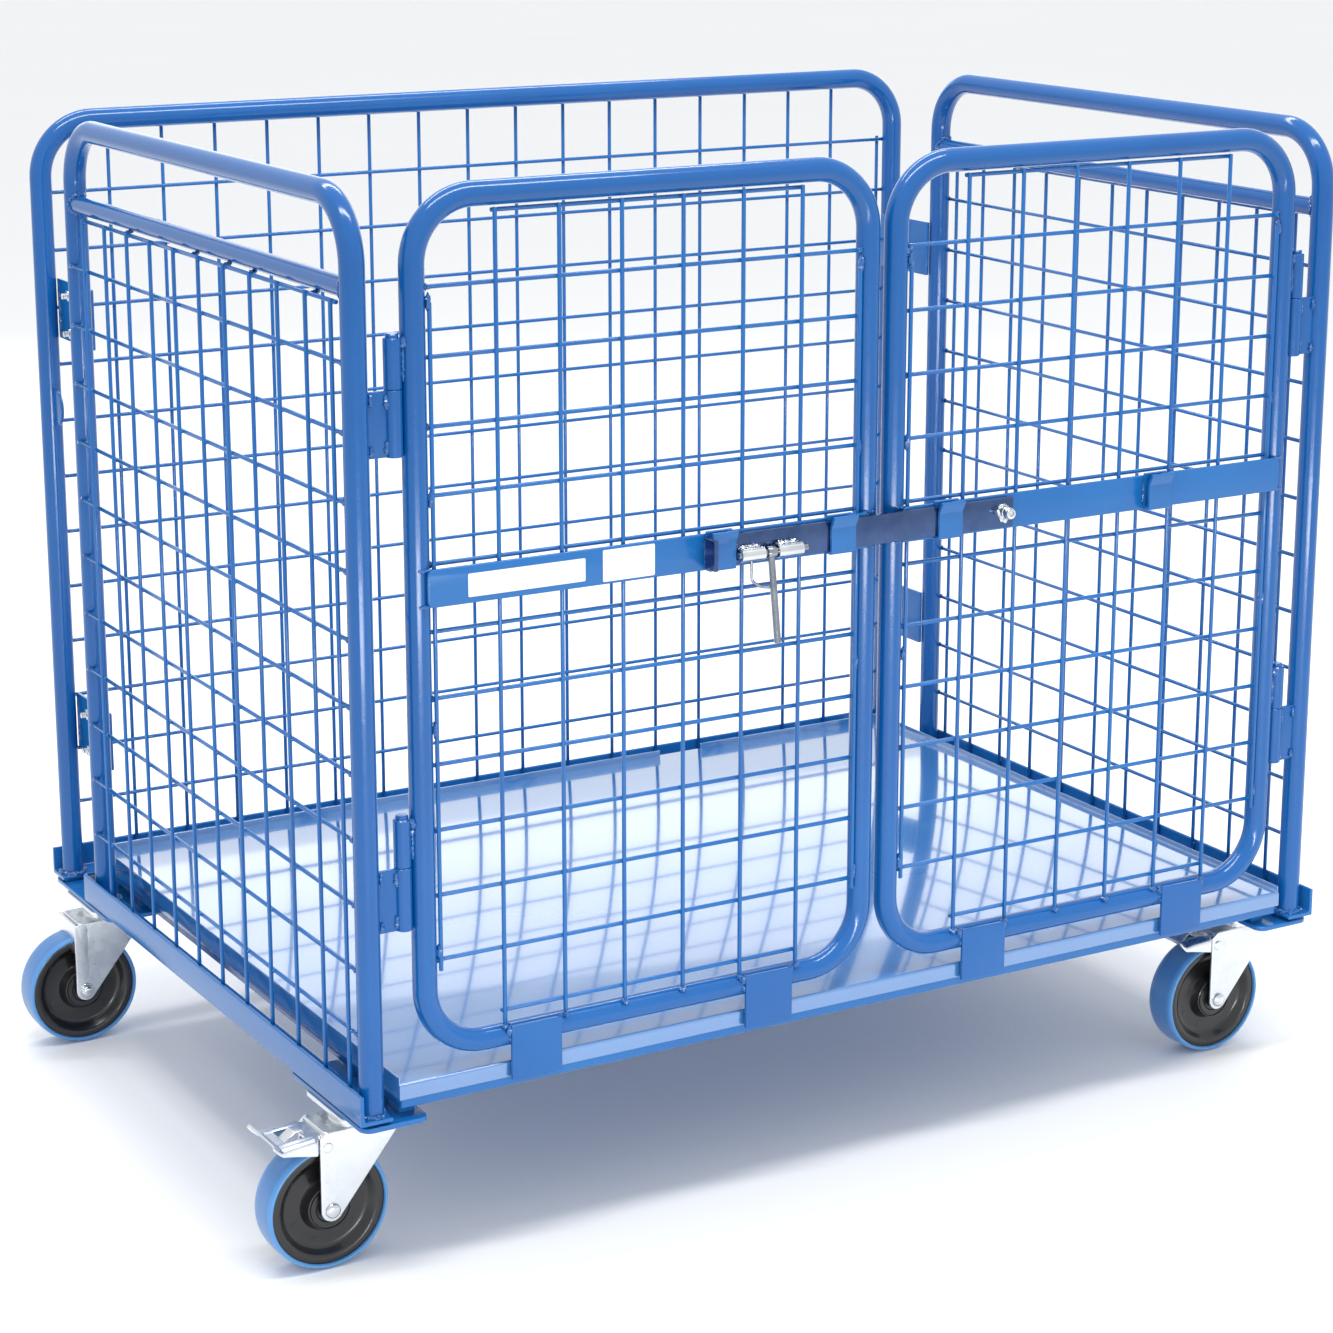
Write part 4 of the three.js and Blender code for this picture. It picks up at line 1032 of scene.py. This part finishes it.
def pressed(grid, thickness, keep):
    """Sheet over a grid of points, given thickness along its own normals, open where keep is not set.

    Both skins are the grid moved half the thickness either way, and every edge that only one
    kept cell uses gets a wall.
    """
    du, dv = np.gradient(grid, axis=0), np.gradient(grid, axis=1)
    normal = unit(np.cross(du, dv))
    both = np.concatenate([grid + normal * thickness / 2, grid - normal * thickness / 2]).reshape(-1, 3)
    rows, columns = grid.shape[:2]
    count = rows * columns
    faces, edges = [], {}
    for i, j in np.argwhere(keep):
        a = i * columns + j
        quad = [int(a), int(a + columns), int(a + columns + 1), int(a + 1)]
        faces += [quad, [count + k for k in quad[::-1]]]
        for p, q in zip(quad, quad[1:] + quad[:1]):
            if edges.pop((q, p), None) is None:
                edges[(p, q)] = True
    faces += [[q, p, p + count, q + count] for p, q in edges]
    used = sorted({i for face in faces for i in face})
    place = {old: new for new, old in enumerate(used)}
    return outward(both[used], [[place[i] for i in face] for face in faces])


def brake_pedal(x, y):
    """Pressed foot lever: a narrow neck, then a wide channel with skirts and a flared, upturned toe.

    Along it the half width steps up from the neck to the channel and grows towards the toe.
    Across it the top is flat, turns over a small radius and falls into a skirt that fades out
    towards the toe. A window is left open, and a bent tongue stands up in it.
    """
    along = np.linspace(0, 1, 49)[:, None]
    across = np.linspace(-1, 1, 35)[None]
    reach = x - 44 - 76 * along
    wide = np.clip((along - 0.235) / 0.045, 0, 1)
    half = 25 + 7.6 * wide + 4.4 * np.clip((along - 0.6) / 0.4, 0, 1) ** 2
    flank = np.clip((np.abs(across) - 0.7) / 0.3, 0, 1)
    fold = np.minimum(flank * 2, 1) * np.pi / 2
    out = np.minimum(np.abs(across) / 0.7, 1) * (half - 4) + 4 * np.sin(fold)
    depth = wide * (13.5 * (1 - np.clip((along - 0.28) / 0.62, 0, 1)) + 1.2)
    fall = 4 * (1 - np.cos(fold)) + depth * np.clip(flank * 2 - 1, 0, 1)
    toe = np.clip((along - 0.84) / 0.16, 0, 1)
    top = 166 - 6.2 * along + 11 * toe ** 1.5
    swell = np.sin(np.pi * np.clip(along * 1.3 - 0.3, 0, 1))
    rib = 1.5 * np.exp(-((np.abs(across) - 0.5) / 0.07) ** 2) * swell
    grid = np.stack(np.broadcast_arrays(reach, y + np.sign(across) * out, top - fall + rib), -1)
    keep = np.ones((48, 34), bool)
    keep[19:34, 10:24] = False
    tread = pressed(grid, 2.2, keep)
    corners = [(x - 96, y, 157.6), (x - 82, y, 167.8), (x - 72, y, 168.8), (x - 71.5, y, 160)]
    path = bent(corners, (1, 3, 2, 1), steps=5)
    tongue = swept(path, flat([(-1, -9), (1, -9), (1, 9), (-1, 9)], 0.5, 2), (0, 1, 0))
    return merge(tread, tongue)


CASTORS = {
    "left_front": (CASTOR_X, CASTOR_Y),
    "right_front": (LENGTH - CASTOR_X, CASTOR_Y),
    "left_back": (CASTOR_X, BACK_Y - CASTOR_Y),
    "right_back": (LENGTH - CASTOR_X, BACK_Y - CASTOR_Y),
}
for name, (x, y) in CASTORS.items():
    braked = name.endswith("front")
    swivel, wheel = f"{name}_swivel", f"{name}_wheel"

    def share(points, centre=y):
        """Distance from the wheel's middle plane as a share of half its width."""
        return np.abs(points[:, 1] - centre) / 23

    made = (
        ("castor_plate", "cage", zinc, "zinc_plate", castor_plate(x, y)),
        ("castor_fork", swivel, zinc, "zinc_plate", castor_fork(x, y, not braked)),
        ("castor_axle", swivel, bright_zinc, "zinc_plate", castor_axle(x, y, not braked)),
        ("wheel_hub", wheel, black, "black_nylon", wheel_hub(x, y)),
    )
    for part, body, finish, slot, shape in made:
        node = f"{name}_{part}"
        piece(f"{node}_finished", body, finish, slot, shape, stands_for=(node,))
    piece(f"{name}_tyre_finished", wheel, tyre_blue, "blue_tyre", tyre(x, y), stands_for=(f"{name}_tyre",),
          marks=share)
    if braked:
        piece(f"{name}_brake_pedal_finished", f"{name}_brake", zinc, "zinc_plate", brake_pedal(x, y),
              stands_for=(f"{name}_brake_pedal",))


# ------------------------------------------------------------------ floor, light and camera
def backdrop():
    """Plain pale floor disc."""
    turn = np.linspace(0, 2 * np.pi, 96, endpoint=False)
    mesh = bpy.data.meshes.new("floor")
    rim = np.stack([60 * np.cos(turn), 60 * np.sin(turn), np.full_like(turn, -0.0005)], -1)
    mesh.from_pydata(rim.tolist(), [], [list(range(96))])
    floor = Finish("pale_floor", Roughness=0.7, IOR=1.3)
    cloud = floor.noise(0.6, 2)
    floor.paint(Base_Color=floor.blend(cloud, (0.90, 0.90, 0.90, 1), (0.93, 0.93, 0.93, 1)))
    mesh.materials.append(floor.material)
    made = bpy.data.objects.new("floor", mesh)
    bpy.context.scene.collection.objects.link(made)


# place, point looked at, width and height in metres, power in watts, spread in degrees
LIGHTS = {
    "front_strip": ((-0.3, -1.4, 4.2), (0, 0, 1.0), (3.8, 0.45), 100, 180),
    "back_strip": ((0.2, 1.8, 4.0), (0, 0, 0.9), (3.8, 0.4), 60, 180),
    "back_panel": ((2.6, 4.4, 2.05), (0, 0, 0.3), (7.0, 1.7), 34, 180),
    "low_front": ((-0.6, -2.9, 0.2), (0, -0.5, 0.22), (2.6, 0.2), 4.5, 60),
}


def soft_light(name, place, aim, size, power, spread):
    """Area light that looks from its place to a point."""
    lamp = bpy.data.lights.new(name, "AREA")
    lamp.shape = "RECTANGLE"
    lamp.size, lamp.size_y = size
    lamp.energy = power
    lamp.spread = math.radians(spread)
    made = bpy.data.objects.new(name, lamp)
    made.location = place
    made.rotation_euler = (Vector(aim) - Vector(place)).to_track_quat("-Z", "Y").to_euler()
    bpy.context.scene.collection.objects.link(made)


def sky():
    """Even white studio surround."""
    world = bpy.data.worlds.new("studio")
    world.use_nodes = True
    surround = world.node_tree.nodes["Background"]
    surround.inputs["Color"].default_value = (0.96, 0.98, 1.0, 1)
    surround.inputs["Strength"].default_value = 1.0
    bpy.context.scene.world = world


def look():
    """Camera at the viewing angle: a long lens from the left front, a little above the top."""
    lens = bpy.data.cameras.new("view")
    lens.lens = 86.24
    lens.sensor_width = 36
    lens.shift_y = -0.06
    lens.clip_end = 200
    camera = bpy.data.objects.new("view", lens)
    yaw, pitch = 0.52896, -0.24482
    ahead = Vector((math.sin(yaw) * math.cos(pitch), math.cos(yaw) * math.cos(pitch), math.sin(pitch)))
    camera.location = (-2.00174, -3.46544, 1.63112)
    camera.rotation_euler = ahead.to_track_quat("-Z", "Y").to_euler()
    bpy.context.scene.collection.objects.link(camera)
    bpy.context.scene.camera = camera


backdrop()
sky()
for name, (place, aim, size, power, spread) in LIGHTS.items():
    soft_light(name, place, aim, size, power, spread)
look()
bpy.context.scene.view_settings.view_transform = "Standard"
